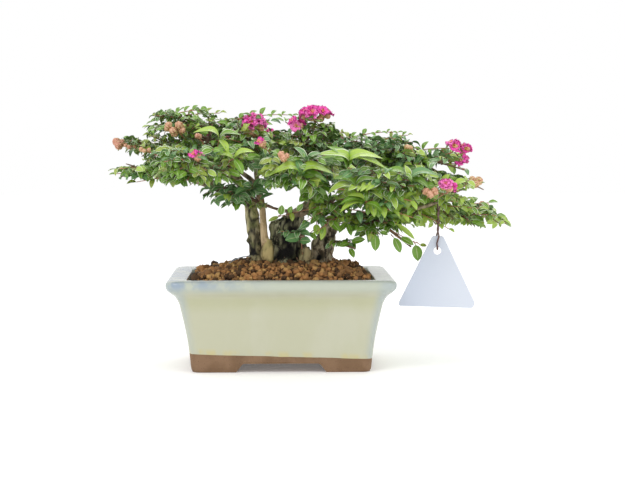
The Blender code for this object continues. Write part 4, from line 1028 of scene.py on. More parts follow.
LEAF_APART = 3.9
LEAVES_ASIDE = 7                           # on each shoot, besides the one at its end
LEAF_ROWS = 8
TOP_ACROSS = np.array((-1.0, -0.55, 0.0, 0.55, 1.0))
UNDER_ACROSS = np.array((-1.0, 0.0, 1.0))
RIB_ACROSS = np.array((-0.07, 0.07))
RIM_ACROSS = np.array((0.8, 1.0))
LEAF_SIZES = (0.68, 1.18)                  # times the mass's own leaf length
LEAF_WIDTHS = (0.4, 0.56)                  # and times the leaf's own length
LEAF_FOLDS = (0.05, 0.45)
LEAF_ARCHES = (0.2, 0.95)
OUTLINE_PEAK = 0.336                       # what makes the outline's broadest half width 1
RIM_SHARE = 0.6                            # how many of the leaves have a pale edge
STALK = 1.4
LEAF_TINTS = {
    "deep": (0.064, 0.155, 0.01),
    "mid": (0.155, 0.31, 0.026),
    "blue": (0.135, 0.29, 0.1),
    "olive": (0.295, 0.385, 0.052),
    "fresh": (0.375, 0.54, 0.075),
    "lime": (0.33, 0.5, 0.06),
}
TINT_NAMES = list(LEAF_TINTS)
OTHERS = (0.22, 0.3, 0.22, 0.16, 0.1)      # how often a shoot has each tint but the last
FACING = 0.85                              # how much leaves at the crown's edge face outwards


def leaf_outline(share):
    """The half width at shares of the length: it swells from the stalk, broadest just short of
    the middle, and narrows to a point."""
    return share ** 0.72 * (1.0 - share) ** 0.82 / OUTLINE_PEAK


def blade_at(leaves, share, across, ride=0.0):
    """Points on leaf blades at shares of length and half width. The edges rise by the fold and
    wave a little, and the blade climbs from its root and bends down by its arch."""
    roots, heading, normal, length, width, fold, arch = leaves
    length, width, fold, arch = (value[:, None] for value in (length, width, fold, arch))
    half = leaf_outline(share) * width * length * 0.5
    sideways = across * half
    forward = length * share * (1.0 - 0.3 * arch * share)
    upward = (fold * np.abs(sideways) + arch * length * share * (0.55 - 1.0 * share)
              + 0.05 * half * np.sin(share * 14.0) * np.abs(across) + ride)
    side = np.cross(normal, heading)
    return (roots[:, None] + forward[..., None] * heading[:, None]
            + sideways[..., None] * side[:, None] + upward[..., None] * normal[:, None])


def open_quads(rows, columns):
    """Quads between the rows of an open grid."""
    row, column = (grid.ravel() for grid in np.meshgrid(np.arange(rows - 1),
                                                        np.arange(columns - 1), indexing="ij"))
    base = row * columns + column
    return np.stack((base, base + columns, base + columns + 1, base + 1), axis=-1)


def blades(leaves, across, ride=0.0, turned=False):
    """Points and faces of many blades: a grid whose end rows shrink to single points, with
    the upper side out, or the lower side out when turned."""
    columns = len(across)
    share = np.linspace(0.0, 1.0, LEAF_ROWS)[1:-1]
    share, across = (grid.ravel() for grid in np.meshgrid(share, across, indexing="ij"))
    middle = np.full(1, across.mean())
    points = np.concatenate((blade_at(leaves, np.zeros(1), middle, ride),
                             blade_at(leaves, share, across, ride),
                             blade_at(leaves, np.ones(1), middle, ride)), axis=1)
    column = np.arange(columns - 1)
    tip = points.shape[1] - 1
    low = np.stack((0 * column, 1 + column, 2 + column), axis=-1)
    high = np.stack((0 * column + tip, tip - columns + column + 1, tip - columns + column), axis=-1)
    starts = np.arange(len(points))[:, None, None] * points.shape[1]
    quads = 1 + open_quads(LEAF_ROWS - 2, columns)
    faces = [(quads + starts).reshape(-1, 4), (np.vstack((low, high)) + starts).reshape(-1, 3)]
    return points, [face[:, ::-1] for face in faces] if turned else faces


rng = np.random.default_rng(SWARM_SEED + 1)
shoot_tint = np.empty(len(shoots), dtype=int)
for number, row in enumerate(MASSES):
    own = np.flatnonzero(shoot_mass == number)
    draw = rng.random(len(own))
    others = rng.choice(5, len(own), p=OTHERS)
    shoot_tint[own] = np.where(draw < row[7], TINT_NAMES.index(row[6]), others)

leaf_roots, leaf_ways = [shoots[:, -1]], [unit(shoots[:, -1] - shoots[:, -2])]
for step in range(LEAVES_ASIDE):
    share = 0.05 + 0.145 * step
    sign = 1 if step % 2 else -1
    heading = unit(along(shoots, min(share + 0.2, 1.0)) - along(shoots, max(share - 0.2, 0.0)))
    sideways = unit(np.cross(heading, UP))
    leaf_roots.append(along(shoots, share))
    leaf_ways.append(unit(heading * 0.75 + sign * sideways
                          + UP * rng.uniform(-0.45, 0.35, (len(shoots), 1))))
leaf_shoot = np.tile(np.arange(len(shoots)), 1 + LEAVES_ASIDE)
leaf_roots = np.concatenate(leaf_roots)
leaf_ways = unit(np.concatenate(leaf_ways))
count = len(leaf_roots)
owner = shoot_mass[leaf_shoot]
typical = np.array([row[5] for row in MASSES])
leaf_length = typical[owner] * rng.uniform(*LEAF_SIZES, count)
outward = leaf_roots * (0.5, 1.0, 0.0) / 120.0
upright = UP + FACING * outward + rng.uniform(-0.75, 0.75, (count, 3))
tips = leaf_roots + leaf_ways * leaf_length[:, None]
middles = leaf_roots + leaf_ways * leaf_length[:, None] * 0.5
good = (in_room(middles, owner, 1.1) & in_room(tips, owner, 1.2) & in_box(tips, 1.5)
        & in_outline(tips, owner) & in_outline(middles, owner))


def first_come(points, wanted, apart):
    """Which of the wanted points have no earlier kept point nearer than apart: each takes a
    place in a table of cells, and only its cell and the cells around it are searched."""
    table = {}
    kept = np.zeros(len(points), dtype=bool)
    cells = np.floor(points / apart).astype(int)
    steps = list(itertools.product((-1, 0, 1), repeat=3))
    for index in np.flatnonzero(wanted):
        x, y, z = cells[index].tolist()
        place = points[index]
        near = (table.get((x + dx, y + dy, z + dz)) for dx, dy, dz in steps)
        if all(other is None or math.dist(other, place) > apart for other in near):
            table[x, y, z] = place.tolist()
            kept[index] = True
    return kept


good = first_come(middles, good, LEAF_APART)
leaf_roots, leaf_ways, upright = leaf_roots[good], leaf_ways[good], upright[good]
leaf_length, leaf_tint = leaf_length[good], shoot_tint[leaf_shoot[good]]
count = len(leaf_roots)
leaf_width = rng.uniform(*LEAF_WIDTHS, count)
leaf_fold = rng.uniform(*LEAF_FOLDS, count)
leaf_arch = rng.uniform(*LEAF_ARCHES, count)
leaf_rim = rng.random(count) < RIM_SHARE

# leaves that stand out in front: root, then each leaf's tip, width, arch and tint
FANS = (
    ((28, -108, 200), (44, -76, 190), (
        ((3, -110, 212), 0.36, 1.5, "lime"), ((12, -104, 217), 0.34, 1.1, "mid"),
        ((56, -109, 208), 0.36, 1.2, "fresh"), ((58, -111, 202), 0.34, 1.5, "lime"),
        ((32, -105, 217), 0.4, 0.5, "mid"))),
    ((-15, -108, 192), (-16, -80, 190), (
        ((-42, -109, 193), 0.38, 1.3, "lime"), ((10, -109, 195), 0.42, 1.3, "lime"),
        ((7, -109, 187), 0.36, 0.7, "mid"), ((-20, -108, 208), 0.44, 0.6, "blue"))),
    ((-10, -108, 206), (-12, -84, 200), (
        ((-22, -109, 219), 0.4, 0.5, "blue"), ((3, -110, 213), 0.4, 0.7, "blue"),
        ((-24, -109, 206), 0.36, 0.6, "mid"))),
    ((45, -104, 166), (58, -80, 172), (
        ((24, -108, 159), 0.34, 0.9, "fresh"), ((24, -108, 166), 0.36, 0.9, "mid"),
        ((30, -108, 173), 0.36, 0.9, "fresh"), ((60, -106, 158), 0.4, 0.7, "mid"))),
    ((36, -104, 181), (50, -80, 180), (
        ((12, -108, 176), 0.36, 0.8, "fresh"), ((16, -106, 188), 0.36, 0.9, "mid"),
        ((54, -108, 188), 0.34, 0.9, "mid"))),
    ((86, -102, 188), (76, -80, 184), (
        ((64, -108, 196), 0.36, 0.8, "mid"), ((110, -104, 192), 0.36, 0.9, "blue"),
        ((104, -104, 180), 0.4, 0.7, "mid"), ((82, -104, 202), 0.42, 0.5, "fresh"))),
    ((-61, -56, 179), (-62, -30, 186), (
        ((-78, -62, 173), 0.4, 0.5, "blue"), ((-50, -60, 188), 0.4, 0.5, "blue"),
        ((-80, -58, 184), 0.4, 0.5, "mid"))),
    ((-55, -40, 166), (-56, -7.5, 169), (((-41, -46, 173), 0.46, 0.3, "blue"),)),
    ((-92, -104, 226), (-96, -76, 214), (
        ((-112, -108, 232), 0.34, 1.1, "fresh"), ((-74, -108, 230), 0.34, 0.9, "mid"),
        ((-84, -106, 214), 0.38, 0.7, "fresh"))),
    ((-78, -106, 208), (-84, -80, 204), (
        ((-94, -110, 212), 0.5, 0.6, "lime"), ((-70, -110, 194), 0.42, 0.4, "mid"),
        ((-60, -108, 214), 0.38, 0.8, "fresh"))),
    ((6, -40, 152), (18, -32, 160), (
        ((-5, -46, 143), 0.44, 0.3, "mid"), ((7, -46, 140), 0.4, 0.3, "blue"))),
    ((31, -42, 144), (40, -30, 150), (
        ((23, -48, 135), 0.4, 0.3, "mid"), ((35, -46, 132), 0.4, 0.3, "mid"),
        ((36, -48, 158), 0.42, 0.3, "mid"))),
)
# long young shoots: start, end, lift, number of leaves, their length, tint
LONG_SHOOTS = (
    ((16, -92, 180), (92, -106, 168), 0.06, 15, 16.0, "lime"),
    ((40, -88, 170), (90, -104, 153), 0.04, 10, 14.0, "lime"),
    ((24, -34, 162), (-8, -50, 147), 0.08, 7, 11.0, "mid"),
    ((26, -34, 152), (2, -52, 137), 0.08, 6, 11.0, "fresh"),
    ((186, 14, 143), (188, 14, 142), 0.00, 1, 19.0, "mid"),
    ((40, -70, 190), (76, -112, 184), 0.05, 9, 15.0, "fresh"),
    ((84, -60, 172), (126, -92, 176), 0.03, 9, 14.0, "fresh"),
    ((96, -30, 156), (128, -66, 140), 0.06, 5, 11.0, "fresh"),
    ((120, -20, 160), (162, -34, 158), 0.08, 7, 13.0, "fresh"),
    ((136, -2, 156), (176, 0, 162), 0.1, 5, 15.0, "mid"),
    ((150, 6, 148), (184, -2, 149), 0.06, 5, 13.0, "mid"),
    ((152, 14, 150), (186, 14, 143), 0.04, 4, 15.0, "mid"),
    ((-150, -6, 246), (-112, -10, 255), 0.1, 9, 9.0, "mid"),
    ((-130, -2, 250), (-94, -8, 252), 0.08, 8, 9.0, "olive"),
    ((-158, 6, 244), (-134, 2, 255), 0.1, 6, 9.0, "mid"), ((30, 2, 226), (84, -2, 233), 0.04, 9, 8.0, "mid"),
    ((92, -2, 212), (138, -8, 217), 0.06, 8, 10.0, "mid"),
    ((30, -56, 167), (66, -64, 157), 0.06, 10, 13.0, "mid"),
    ((32, -48, 158), (68, -54, 151), 0.06, 9, 13.0, "blue"),
    ((56, -30, 146), (98, -52, 125), 0.02, 0, 0.0, "mid"),
    ((20, -30, 164), (-38, -38, 150), 0.06, 0, 0.0, "mid"),
    ((-12, -22, 112), (-14, -24, 133), 0.00, 0, 0.0, "mid"),
    ((-140, -14, 193), (-196, -20, 192), 0.05, 9, 13.0, "mid"),
    ((-136, -16, 190), (-176, -24, 184), 0.02, 5, 13.0, "olive"),
    ((-150, 20, 214), (-186, 14, 220), 0.05, 5, 9.0, "olive"),
    ((-82, -10, 245), (-22, -12, 250), 0.05, 11, 10.0, "mid"),
    ((60, 2, 222), (94, -4, 230), 0.05, 6, 8.0, "olive"),
    ((118, 2, 206), (138, -6, 213), 0.05, 4, 12.0, "blue"),
    ((126, -58, 170), (156, -60, 182), 0.1, 4, 12.0, "mid"),
    ((-40, -60, 214), (-58, -100, 224), 0.05, 7, 12.0, "mid"),
    ((30, 60, 214), (70, 112, 206), 0.05, 8, 14.0, "fresh"),
    ((-20, 70, 218), (-50, 112, 214), 0.05, 8, 14.0, "fresh"),
    ((-100, 70, 216), (-140, 96, 214), 0.05, 8, 13.0, "lime"),
    ((130, 20, 204), (150, 40, 196), 0.05, 6, 13.0, "fresh"),
)
# single leaves on thin stalks: the stalk's start, the leaf's root and tip, its width and tint
SINGLE_LEAVES = (
    ((58, -40, 140), (54, -50, 134.8), (53.5, -52, 126.6), 0.7, "olive"),
    ((58, -40, 140), (57.8, -50, 133.7), (58.4, -52, 117.4), 0.5, "mid"),
    ((74, -46, 133), (76.6, -50, 130.4), (82.7, -52, 115.7), 0.46, "mid"),
    ((78, -46, 132), (83.2, -50, 130.4), (95.6, -53, 123.3), 0.46, "mid"),
    ((96, -50, 127), (97.7, -50, 123.3), (99.9, -53, 107.6), 0.58, "mid"),
    ((98, -50, 126), (102.1, -50, 123.3), (108.5, -52, 122.3), 0.5, "olive"),
    ((78, -44, 145), (78.9, -50, 144.0), (96.7, -52, 128.8), 0.2, "fresh"),
    ((34, -28, 125), (33, -34, 124), (24, -40, 121), 0.46, "mid"),
    ((34, -28, 125), (36, -34, 125), (49, -40, 128), 0.46, "mid"),
    ((34, -28, 121), (34, -36, 119), (38, -42, 110), 0.46, "mid"),
    ((-14, -24, 132), (-15, -41, 130.3), (-29.7, -47, 127.9), 0.54, "blue"),
    ((-14, -24, 130), (-15, -41, 126.9), (-4.5, -47, 126.6), 0.66, "blue"),
    ((4, -34, 150), (-5.3, -42, 145), (-15.6, -47, 138.8), 0.5, "blue"),
    ((4, -34, 150), (0.9, -42, 143.2), (1.4, -47, 132.8), 0.56, "lime"),
    ((18, -34, 152), (14.2, -42, 146.5), (23.4, -47, 136.7), 0.5, "mid"),
    ((2, -36, 140), (-5.3, -42, 134.7), (0.6, -47, 128.5), 0.5, "mid"),
    ((14, -34, 150), (9.3, -42, 141.6), (5.4, -47, 127.9), 0.36, "fresh"),
    ((6, -36, 178), (-5.3, -42, 174.3), (-16, -47, 165.4), 0.5, "mid"),
    ((-36, -37, 151), (-34, -42, 152.4), (-32.7, -45, 162.1), 0.66, "mid"),
    ((-24, -35, 153), (-26, -42, 154.2), (-23, -45, 160.9), 0.6, "mid"),
    ((-34, -37, 151), (-35.8, -42, 150.5), (-46.2, -45, 146.2), 0.34, "olive"),
    ((-22, -35, 153), (-23.5, -42, 154.8), (-22.4, -45, 146.2), 0.5, "olive"),
    ((-14, -34, 155), (-18, -42, 156), (-12, -45, 163), 0.55, "mid"),
)
extra_shoots, extra = [], []


def add_stalk(start, end, lift):
    """A stalk or young shoot of its own among the shoots."""
    path = arcs(np.array([start], float), np.array([end], float), lift, SHOOT_STEPS, rng)
    extra_shoots.append(path[0])
    return path


def add_leaf(root, tip, width, arch, tint, fold=0.25, toward=(0.0, -0.55, 1.0)):
    """One leaf from root to tip, its upper side turned as nearly as it can be toward a way."""
    reach = np.subtract(tip, root)
    heading = unit(reach)
    normal = np.array(toward) - heading * np.dot(toward, heading)
    length = np.linalg.norm(reach) / (1.0 - 0.3 * min(arch, 1.0))
    drop = arch * length * 0.45 / np.linalg.norm(reach)
    heading = unit(heading + unit(normal) * drop)
    normal = np.array(toward) - heading * np.dot(toward, heading)
    extra.append((root, heading, unit(normal), length, width, fold, arch, TINT_NAMES.index(tint)))


for root, start, fan in FANS:
    add_stalk(start, root, 0.1)
    for leaf in fan:
        add_leaf(root, *leaf)
for start, end, lift, number, length, tint in LONG_SHOOTS:
    path = add_stalk(start, end, lift)
    for step in range(number):
        share = 0.12 + 0.88 * step / max(1, number - 1)
        root = along(path, share)[0]
        heading = unit(along(path, min(share + 0.1, 1.0)) - along(path, share - 0.1))[0]
        sideways = unit(np.cross(heading, (0.0, -0.8, 0.6))) * (1 if step % 2 else -1)
        way = heading if step == number - 1 else unit(
            heading * rng.uniform(0.6, 1.5) + sideways + rng.uniform(-0.55, 0.55, 3))
        size = length * (1.0 - 0.35 * share) * rng.uniform(0.85, 1.15)
        add_leaf(root, root + way * size, rng.uniform(0.4, 0.52), rng.uniform(0.3, 0.8),
                 tint if rng.random() < 0.75 else "mid")
for start, root, tip, width, tint in SINGLE_LEAVES:
    add_stalk(start, root, 0.0)
    add_leaf(root, tip, width, 0.25, tint, toward=(0.1, -1.0, 0.5))

upright = unit(upright - leaf_ways * (upright * leaf_ways).sum(axis=-1, keepdims=True))
grown = (leaf_roots + leaf_ways * STALK, leaf_ways, upright, leaf_length, leaf_width, leaf_fold,
         leaf_arch, leaf_tint)
leaves = [np.concatenate((values, np.array(placed, dtype=float)))
          for values, placed in zip(grown, zip(*extra))]
leaf_tint = leaves.pop().astype(int)
leaf_rim = np.concatenate((leaf_rim, rng.random(len(extra)) < 0.3))


def add_blades(name, chosen, across, ride, surface, turned=False):
    """One piece from the chosen leaves' blades, ribs or rims."""
    own = [value[chosen] for value in leaves]
    parts = [blades(own, values, ride, turned) for values in across]
    points = np.concatenate([part[0].reshape(-1, 3) for part in parts])
    starts = np.cumsum([0] + [part[0].reshape(-1, 3).shape[0] for part in parts])
    faces = [group + start for part, start in zip(parts, starts) for group in part[1]]
    dress(add_mesh(name, points * MM, faces, surface), "foliage", *MASS_NAMES)


def leaf_finish(name, colour, roughness):
    """Leathery, one plain green, with a soft relief."""
    return pitted("leaf " + name, tuple(colour), roughness, (350.0, 2.0), 0.0005)


for number, name in enumerate(TINT_NAMES):
    colour = np.array(LEAF_TINTS[name])
    pale = colour * 0.65 + np.array((0.16, 0.22, 0.12)) * 0.6
    add_blades("leaves_" + name, leaf_tint == number, [TOP_ACROSS], 0.0,
               leaf_finish(name, colour, 0.34))
    add_blades("leaves_" + name + "_under", leaf_tint == number, [UNDER_ACROSS], -0.14,
               leaf_finish(name + " underside", pale, 0.55), True)
add_blades("leaf_ribs", leaf_tint >= 0, [RIB_ACROSS], 0.1,
           leaf_finish("rib", (0.42, 0.52, 0.24), 0.45))
add_blades("leaf_rims", leaf_rim, [RIM_ACROSS, -RIM_ACROSS[::-1]], 0.08,
           leaf_finish("rim", (0.64, 0.72, 0.5), 0.4))

shoots = np.concatenate((shoots, np.array(extra_shoots)))
young = rng.random(len(shoots)) < 0.5
young[-len(extra_shoots):] = True
old_wood = plain("twig bark", (0.2, 0.125, 0.075), 0.7)
young_wood = plain("young shoot bark", (0.4, 0.17, 0.095), 0.5)
for name, paths, thick, thin, sides, surface in (
        ("twigs", twigs, 1.05, 0.5, 6, old_wood),
        ("shoots", shoots[~young], 0.6, 0.36, 5, old_wood),
        ("young_shoots", shoots[young], 0.6, 0.36, 5, young_wood),
        ("twig_stems", np.array(stems), 1.9, 0.9, 8, old_wood)):
    radii = np.linspace(thick, thin, paths.shape[1]) * np.ones((len(paths), 1))
    add_tubes(name, paths, radii, sides, surface, "foliage", *MASS_NAMES)


# ---- blossom and buds --------------------------------------------------------------------
# Loose heads at the shoots' ends: ridged round buds in tan, green and pink, and flowers of six
# petals crumpled like crepe paper, each on a thin claw round a few yellow stamens.

PETAL_TINTS = {
    "magenta": (0.94, 0.11, 0.52),
    "rose": (0.96, 0.23, 0.6),
    "crimson": (0.72, 0.055, 0.34),
}
TINT_SHARES = (0.55, 0.38, 0.07)           # how many flowers have each tint
PETAL_ROWS = 8
PETAL_COLUMNS = 9
BUD_ROWS = 11
BUD_SIDES = 24
BUD_LENGTH = 1.08
PETALS = 6
STAMENS = 7
STAMEN_LENGTH = 3.8
# flower heads: middle, half spread, flowers, their size, buds, and where the stalk starts
HEADS = (
    ((-60, -38, 239), (7, 6, 8), 12, 7.0, 5, (-64, -24, 222)),
    ((1, -24, 250), (12, 8, 4.5), 11, 7.0, 6, (-2, -14, 232)),
    ((-17, -28, 241), (5, 4, 4), 3, 6.0, 2, (-10, -16, 230)),
    ((140, -8, 220), (3, 3, 2.5), 3, 6.0, 2, (128, -4, 206)),
    ((152, -8, 217), (3, 2, 1.5), 3, 5.5, 3, (128, -4, 206)),
    ((123, -100, 182), (3.5, 3, 3), 4, 6.5, 2, (112, -84, 168)),
    ((-112, -106, 211), (3, 2, 2), 2, 5.5, 3, (-104, -84, 206)),
    ((-52, -100, 223), (2, 2, 1), 1, 5.0, 2, (-44, -76, 212)),
    ((-104, 84, 228), (10, 8, 6), 8, 8.0, 4, (-100, 70, 212)),
    ((16, 92, 224), (12, 8, 6), 9, 8.0, 5, (4, 72, 210)),
    ((92, 84, 208), (7, 6, 5), 5, 8.0, 3, (74, 66, 198)),
    ((150, 36, 206), (4, 4, 3), 3, 8.0, 3, (130, 20, 200)),
    ((-44, 74, 226), (7, 6, 4), 5, 7.5, 3, (-44, 50, 216)),
)
# heads of buds alone: middle, half spread, buds, their radius, how pink, stalk's start
BUD_HEADS = (
    ((-137, -36, 237), (7.8, 3.0, 5.4), 7, 3.8, 0.35, (-128, -20, 226)),
    ((-196, 8, 222), (3.0, 2.5, 3.0), 4, 3.9, 0.75, (-178, 22, 218)),
    ((-184, 4, 219), (6.0, 2.0, 2.0), 3, 2.2, 0.5, (-178, 22, 218)),
    ((-31, -112, 211), (3.6, 1.5, 3.2), 4, 3.2, 0.45, (-26, -88, 202)),
    ((-113, -62, 229), (1.0, 1.0, 1.0), 2, 2.8, 0.6, (-108, -50, 220)),
    ((-164, -60, 216), (5.0, 2.0, 1.5), 3, 2.2, 0.4, (-148, -56, 208)),
    ((107, -104, 177), (6.0, 2.0, 3.2), 6, 3.4, 0.45, (104, -84, 168)),
    ((155, -62, 186), (4.6, 2.0, 3.0), 4, 3.5, 0.3, (140, -60, 178)),
    ((93, -24, 217), (2.0, 1.5, 1.5), 2, 3.2, 0.1, (84, -16, 208)),
    ((-150, 78, 218), (5.0, 3.0, 3.0), 4, 3.6, 0.5, (-132, 72, 212)),
    ((60, 100, 212), (4.0, 3.0, 3.0), 4, 3.4, 0.4, (64, 80, 202)),
    ((-30, 108, 220), (4.0, 3.0, 3.0), 4, 3.4, 0.5, (-24, 84, 212)),
    ((176, 26, 158), (3.0, 3.0, 2.0), 3, 3.2, 0.4, (166, 18, 152)),
)


def frames(axes):
    """Two directions square to each axis and to each other."""
    side = unit(np.cross(axes, (0.31, 0.82, 0.27)))
    return side, np.cross(axes, side)


def petal_grids(middles, facing, size, rng):
    """The petals round each middle. A petal is a thin claw that widens into a round blade,
    and its blade is crumpled by waves that grow towards the edge."""
    share = np.linspace(0.0, 1.0, PETAL_ROWS)[:, None]
    across = np.linspace(-1.0, 1.0, PETAL_COLUMNS)[None, :]
    rise = np.clip((share - 0.22) / 0.33, 0.0, 1.0)
    round_end = np.sqrt(np.clip(1.0 - ((share - 0.6) / 0.42) ** 2, 0.0, 1.0))
    half = 0.05 + 0.52 * rise * rise * (3.0 - 2.0 * rise) * np.where(share > 0.6, round_end, 1.0)
    side, other = frames(facing)
    grids = []
    for turn in range(PETALS):
        angle = math.tau * turn / PETALS + rng.uniform(-0.2, 0.2, (len(middles), 1))
        out = side * np.cos(angle) + other * np.sin(angle)
        tilt = rng.uniform(0.25, 0.85, (len(middles), 1))
        ahead = unit(out + facing * tilt)[:, None, None]
        flank = np.cross(facing, out)[:, None, None]
        above = np.cross(ahead, flank)
        phase = rng.uniform(0.0, math.tau, (len(middles), 1, 1))
        crumple = share ** 1.5 * (0.14 * np.sin(7.0 * across + phase)
                                  + 0.09 * np.sin(13.0 * across - 2.0 * phase + 9.0 * share)
                                  + 0.05 * np.sin(15.0 * share + phase))
        length = (size * rng.uniform(0.85, 1.15, len(middles)))[:, None, None]
        reach = share * (1.0 + 0.1 * np.sin(9.0 * across + phase)) * length
        grids.append(middles[:, None, None] + reach[..., None] * ahead
                     + (across * half * length)[..., None] * flank
                     + (crumple * length)[..., None] * above)
    return np.concatenate(grids)


rng = np.random.default_rng(SWARM_SEED + 5)
flowers, head_buds, stalks = [], [], []


def add_stalks(start, fork, ends):
    """A stalk that forks to each flower or bud of a head."""
    stalks.append((start, fork))
    stalks.extend((fork, end) for end in ends)


for middle, spread, number, size, buds, start in HEADS:
    middle, spread, start = floats(middle, spread, start)
    way = even_directions(number + buds)
    way[:, 2] = np.abs(way[:, 2]) if number > 3 else way[:, 2]
    way[number:, 2] = -0.8 * np.abs(way[number:, 2]) - 0.2
    place = middle + way * spread
    facing = unit(way + (0.0, 0.0, 0.5) + (middle - start) / 60.0)[:number]
    flowers.append((place[:number], facing, np.full(number, size),
                    rng.choice(3, number, p=TINT_SHARES)))
    # a flower's own cup, then the head's unopened buds
    head_buds.append((place[:number] - facing * 2.4, facing, np.full(number, 2.2),
                      np.full(number, 0.15)))
    head_buds.append((place[number:], unit(way[number:] + (0.0, 0.0, 0.4)),
                      rng.uniform(2.6, 3.4, buds), np.full(buds, 0.4)))
    add_stalks(start, middle - (0.0, 0.0, spread[2] + 3.0), place)
for middle, spread, number, radius, blush, start in BUD_HEADS:
    middle, spread, start = floats(middle, spread, start)
    place = middle + even_directions(number) * spread
    axes = unit(place - start + rng.uniform(-4.0, 4.0, place.shape))
    head_buds.append((place, axes, radius * rng.uniform(0.85, 1.1, number),
                      np.full(number, blush)))
    add_stalks(start, middle + (start - middle) * 0.35, place)
flower_middles, flower_facing, flower_size, flower_tint = map(np.concatenate, zip(*flowers))
bud_middles, bud_axes, bud_radii, bud_blush = map(np.concatenate, zip(*head_buds))

sheet = open_quads(PETAL_ROWS, PETAL_COLUMNS)
for number, (name, colour) in enumerate(PETAL_TINTS.items()):
    chosen = flower_tint == number
    grids = petal_grids(flower_middles[chosen], flower_facing[chosen], flower_size[chosen], rng)
    back = grids - 0.12 * np.repeat(flower_facing[chosen][None], PETALS, axis=0).reshape(-1, 1, 1, 3)
    starts = np.arange(len(grids))[:, None, None] * PETAL_ROWS * PETAL_COLUMNS
    faces = (sheet + starts).reshape(-1, 4)
    dress(add_mesh("petals_" + name, np.concatenate((grids, back)) * MM,
                   [faces, faces[:, ::-1] + grids[..., 0].size],
                   pitted("petal " + name, colour, 0.55, (600.0, 3.0), 0.001)),
          "foliage", *MASS_NAMES)

side, other = frames(flower_facing)
stamen_paths = []
for angle in full_turn(STAMENS):
    lean = unit(flower_facing + 0.45 * (side * math.cos(angle) + other * math.sin(angle)))
    reach = np.array((0.0, 0.5, 0.86, 0.93, 1.0))[None, :, None]
    stamen_paths.append(flower_middles[:, None] + lean[:, None] * reach * STAMEN_LENGTH)
stamen_paths = np.concatenate(stamen_paths)
stamen_radii = np.array((0.12, 0.12, 0.14, 0.36, 0.26)) * np.ones((len(stamen_paths), 1))
add_tubes("stamens", stamen_paths, stamen_radii, 6, plain("stamen", (0.82, 0.56, 0.07), 0.6),
          "foliage", *MASS_NAMES)


def bud_finish():
    """A bud's skin: green-tan between its ridges, blushing pink where it is marked."""
    made, shader, place = new_finish("bud skin")
    ridge = marked(shader, "ridge")
    skin = mix(rise(noise(place, 420.0), 0.42, 0.58), (0.4, 0.29, 0.09), (0.8, 0.6, 0.33))
    for share, colour in ((rise(ridge, 0.6, 1.1), (0.3, 0.36, 0.05)),
                          (rise(ridge, 0.36, 0.1), (0.33, 0.1, 0.06)),
                          (times(marked(shader, "blush"), 0.6), (0.56, 0.17, 0.17))):
        skin = mix(share, skin, colour)
    join(shader, {"Base Color": skin, "Roughness": 0.5,
                  "Normal": relief(noise(place, 500.0), 0.0006)})
    return made


level = np.cos(np.linspace(math.pi, 0.0, BUD_ROWS))
flat = np.sqrt(1.0 - level ** 2) + 0.02
turn = full_turn(BUD_SIDES)
ridge = np.cos(6.0 * turn)[None, :] * flat[:, None]
paths = bud_middles[:, None] + bud_axes[:, None] * (bud_radii[:, None] * BUD_LENGTH * level)[..., None]
points, faces = tubes(paths * MM, bud_radii[:, None] * flat * MM, BUD_SIDES, 1.0 + 0.16 * ridge)
buds = add_mesh("buds", points, faces, bud_finish())
blush = np.clip(bud_blush[:, None, None] + 0.45 * level[:, None] + 0.0 * turn, 0.0, 1.0)
ridge = 0.5 + 0.5 * ridge + np.zeros((len(bud_radii), 1, 1))
for name, values in (("blush", blush), ("ridge", ridge)):
    mark(buds, name, np.pad(values.reshape(len(bud_radii), -1), ((0, 0), (0, 2))))
dress(buds, "foliage", *MASS_NAMES)

starts, ends = (np.array(side) for side in zip(*stalks))
stalk_paths = arcs(starts, ends, 0.06, SHOOT_STEPS, rng)
add_tubes("flower_stalks", stalk_paths, np.full(stalk_paths.shape[:2], 0.5), 6, young_wood,
          "foliage", *MASS_NAMES)


# ---- tag and tie -------------------------------------------------------------------------
# A blank tag stamped from a milky plastic sheet, with rounded corners and a punched hole. It
# hangs on a doubled brown cord that is looped over a twig and twists a little on its way down.

TAG_HOLE = np.array((118.3, -58.0, 118.0))
TAG_HOLE_RADIUS = 3.7
TAG_THICK = 0.8
TAG_LEAN = math.radians(1.5)
TAG_CORNERS = (                            # from the hole: x, z, and the corner's radius
    (5.2, 14.5, 2.2),
    (-5.2, 14.5, 2.2),
    (-36.0, -51.0, 1.6),
    (-36.0, -54.6, 1.8),
    (36.4, -55.2, 1.8),
    (38.4, -50.2, 1.6),
)
TAG_POINTS = 240
TIE_RADIUS = 0.75
TIE_NARROW = 1.9
TIE_TWIST = 0.75


def rounded_outline(corners, count):
    """A closed outline with each corner cut to an arc between two points on its sides, dealt
    out again in even steps along its length."""
    places = np.array([corner[:2] for corner in corners])
    points = []
    for number, here in enumerate(places):
        radius = corners[number][2]
        before = unit(places[number - 1] - here) * radius
        after = unit(places[(number + 1) % len(places)] - here) * radius
        share = np.linspace(0.0, 1.0, 9)[:, None]
        points.append(here + before * (1 - share) ** 2 + after * share ** 2)
    points = np.vstack(points + [points[0][:1]])
    run = np.append(0.0, np.cumsum(np.linalg.norm(np.diff(points, axis=0), axis=1)))
    steps = np.linspace(0.0, run[-1], count, endpoint=False)
    return np.stack([np.interp(steps, run, points[:, axis]) for axis in range(2)], axis=-1)


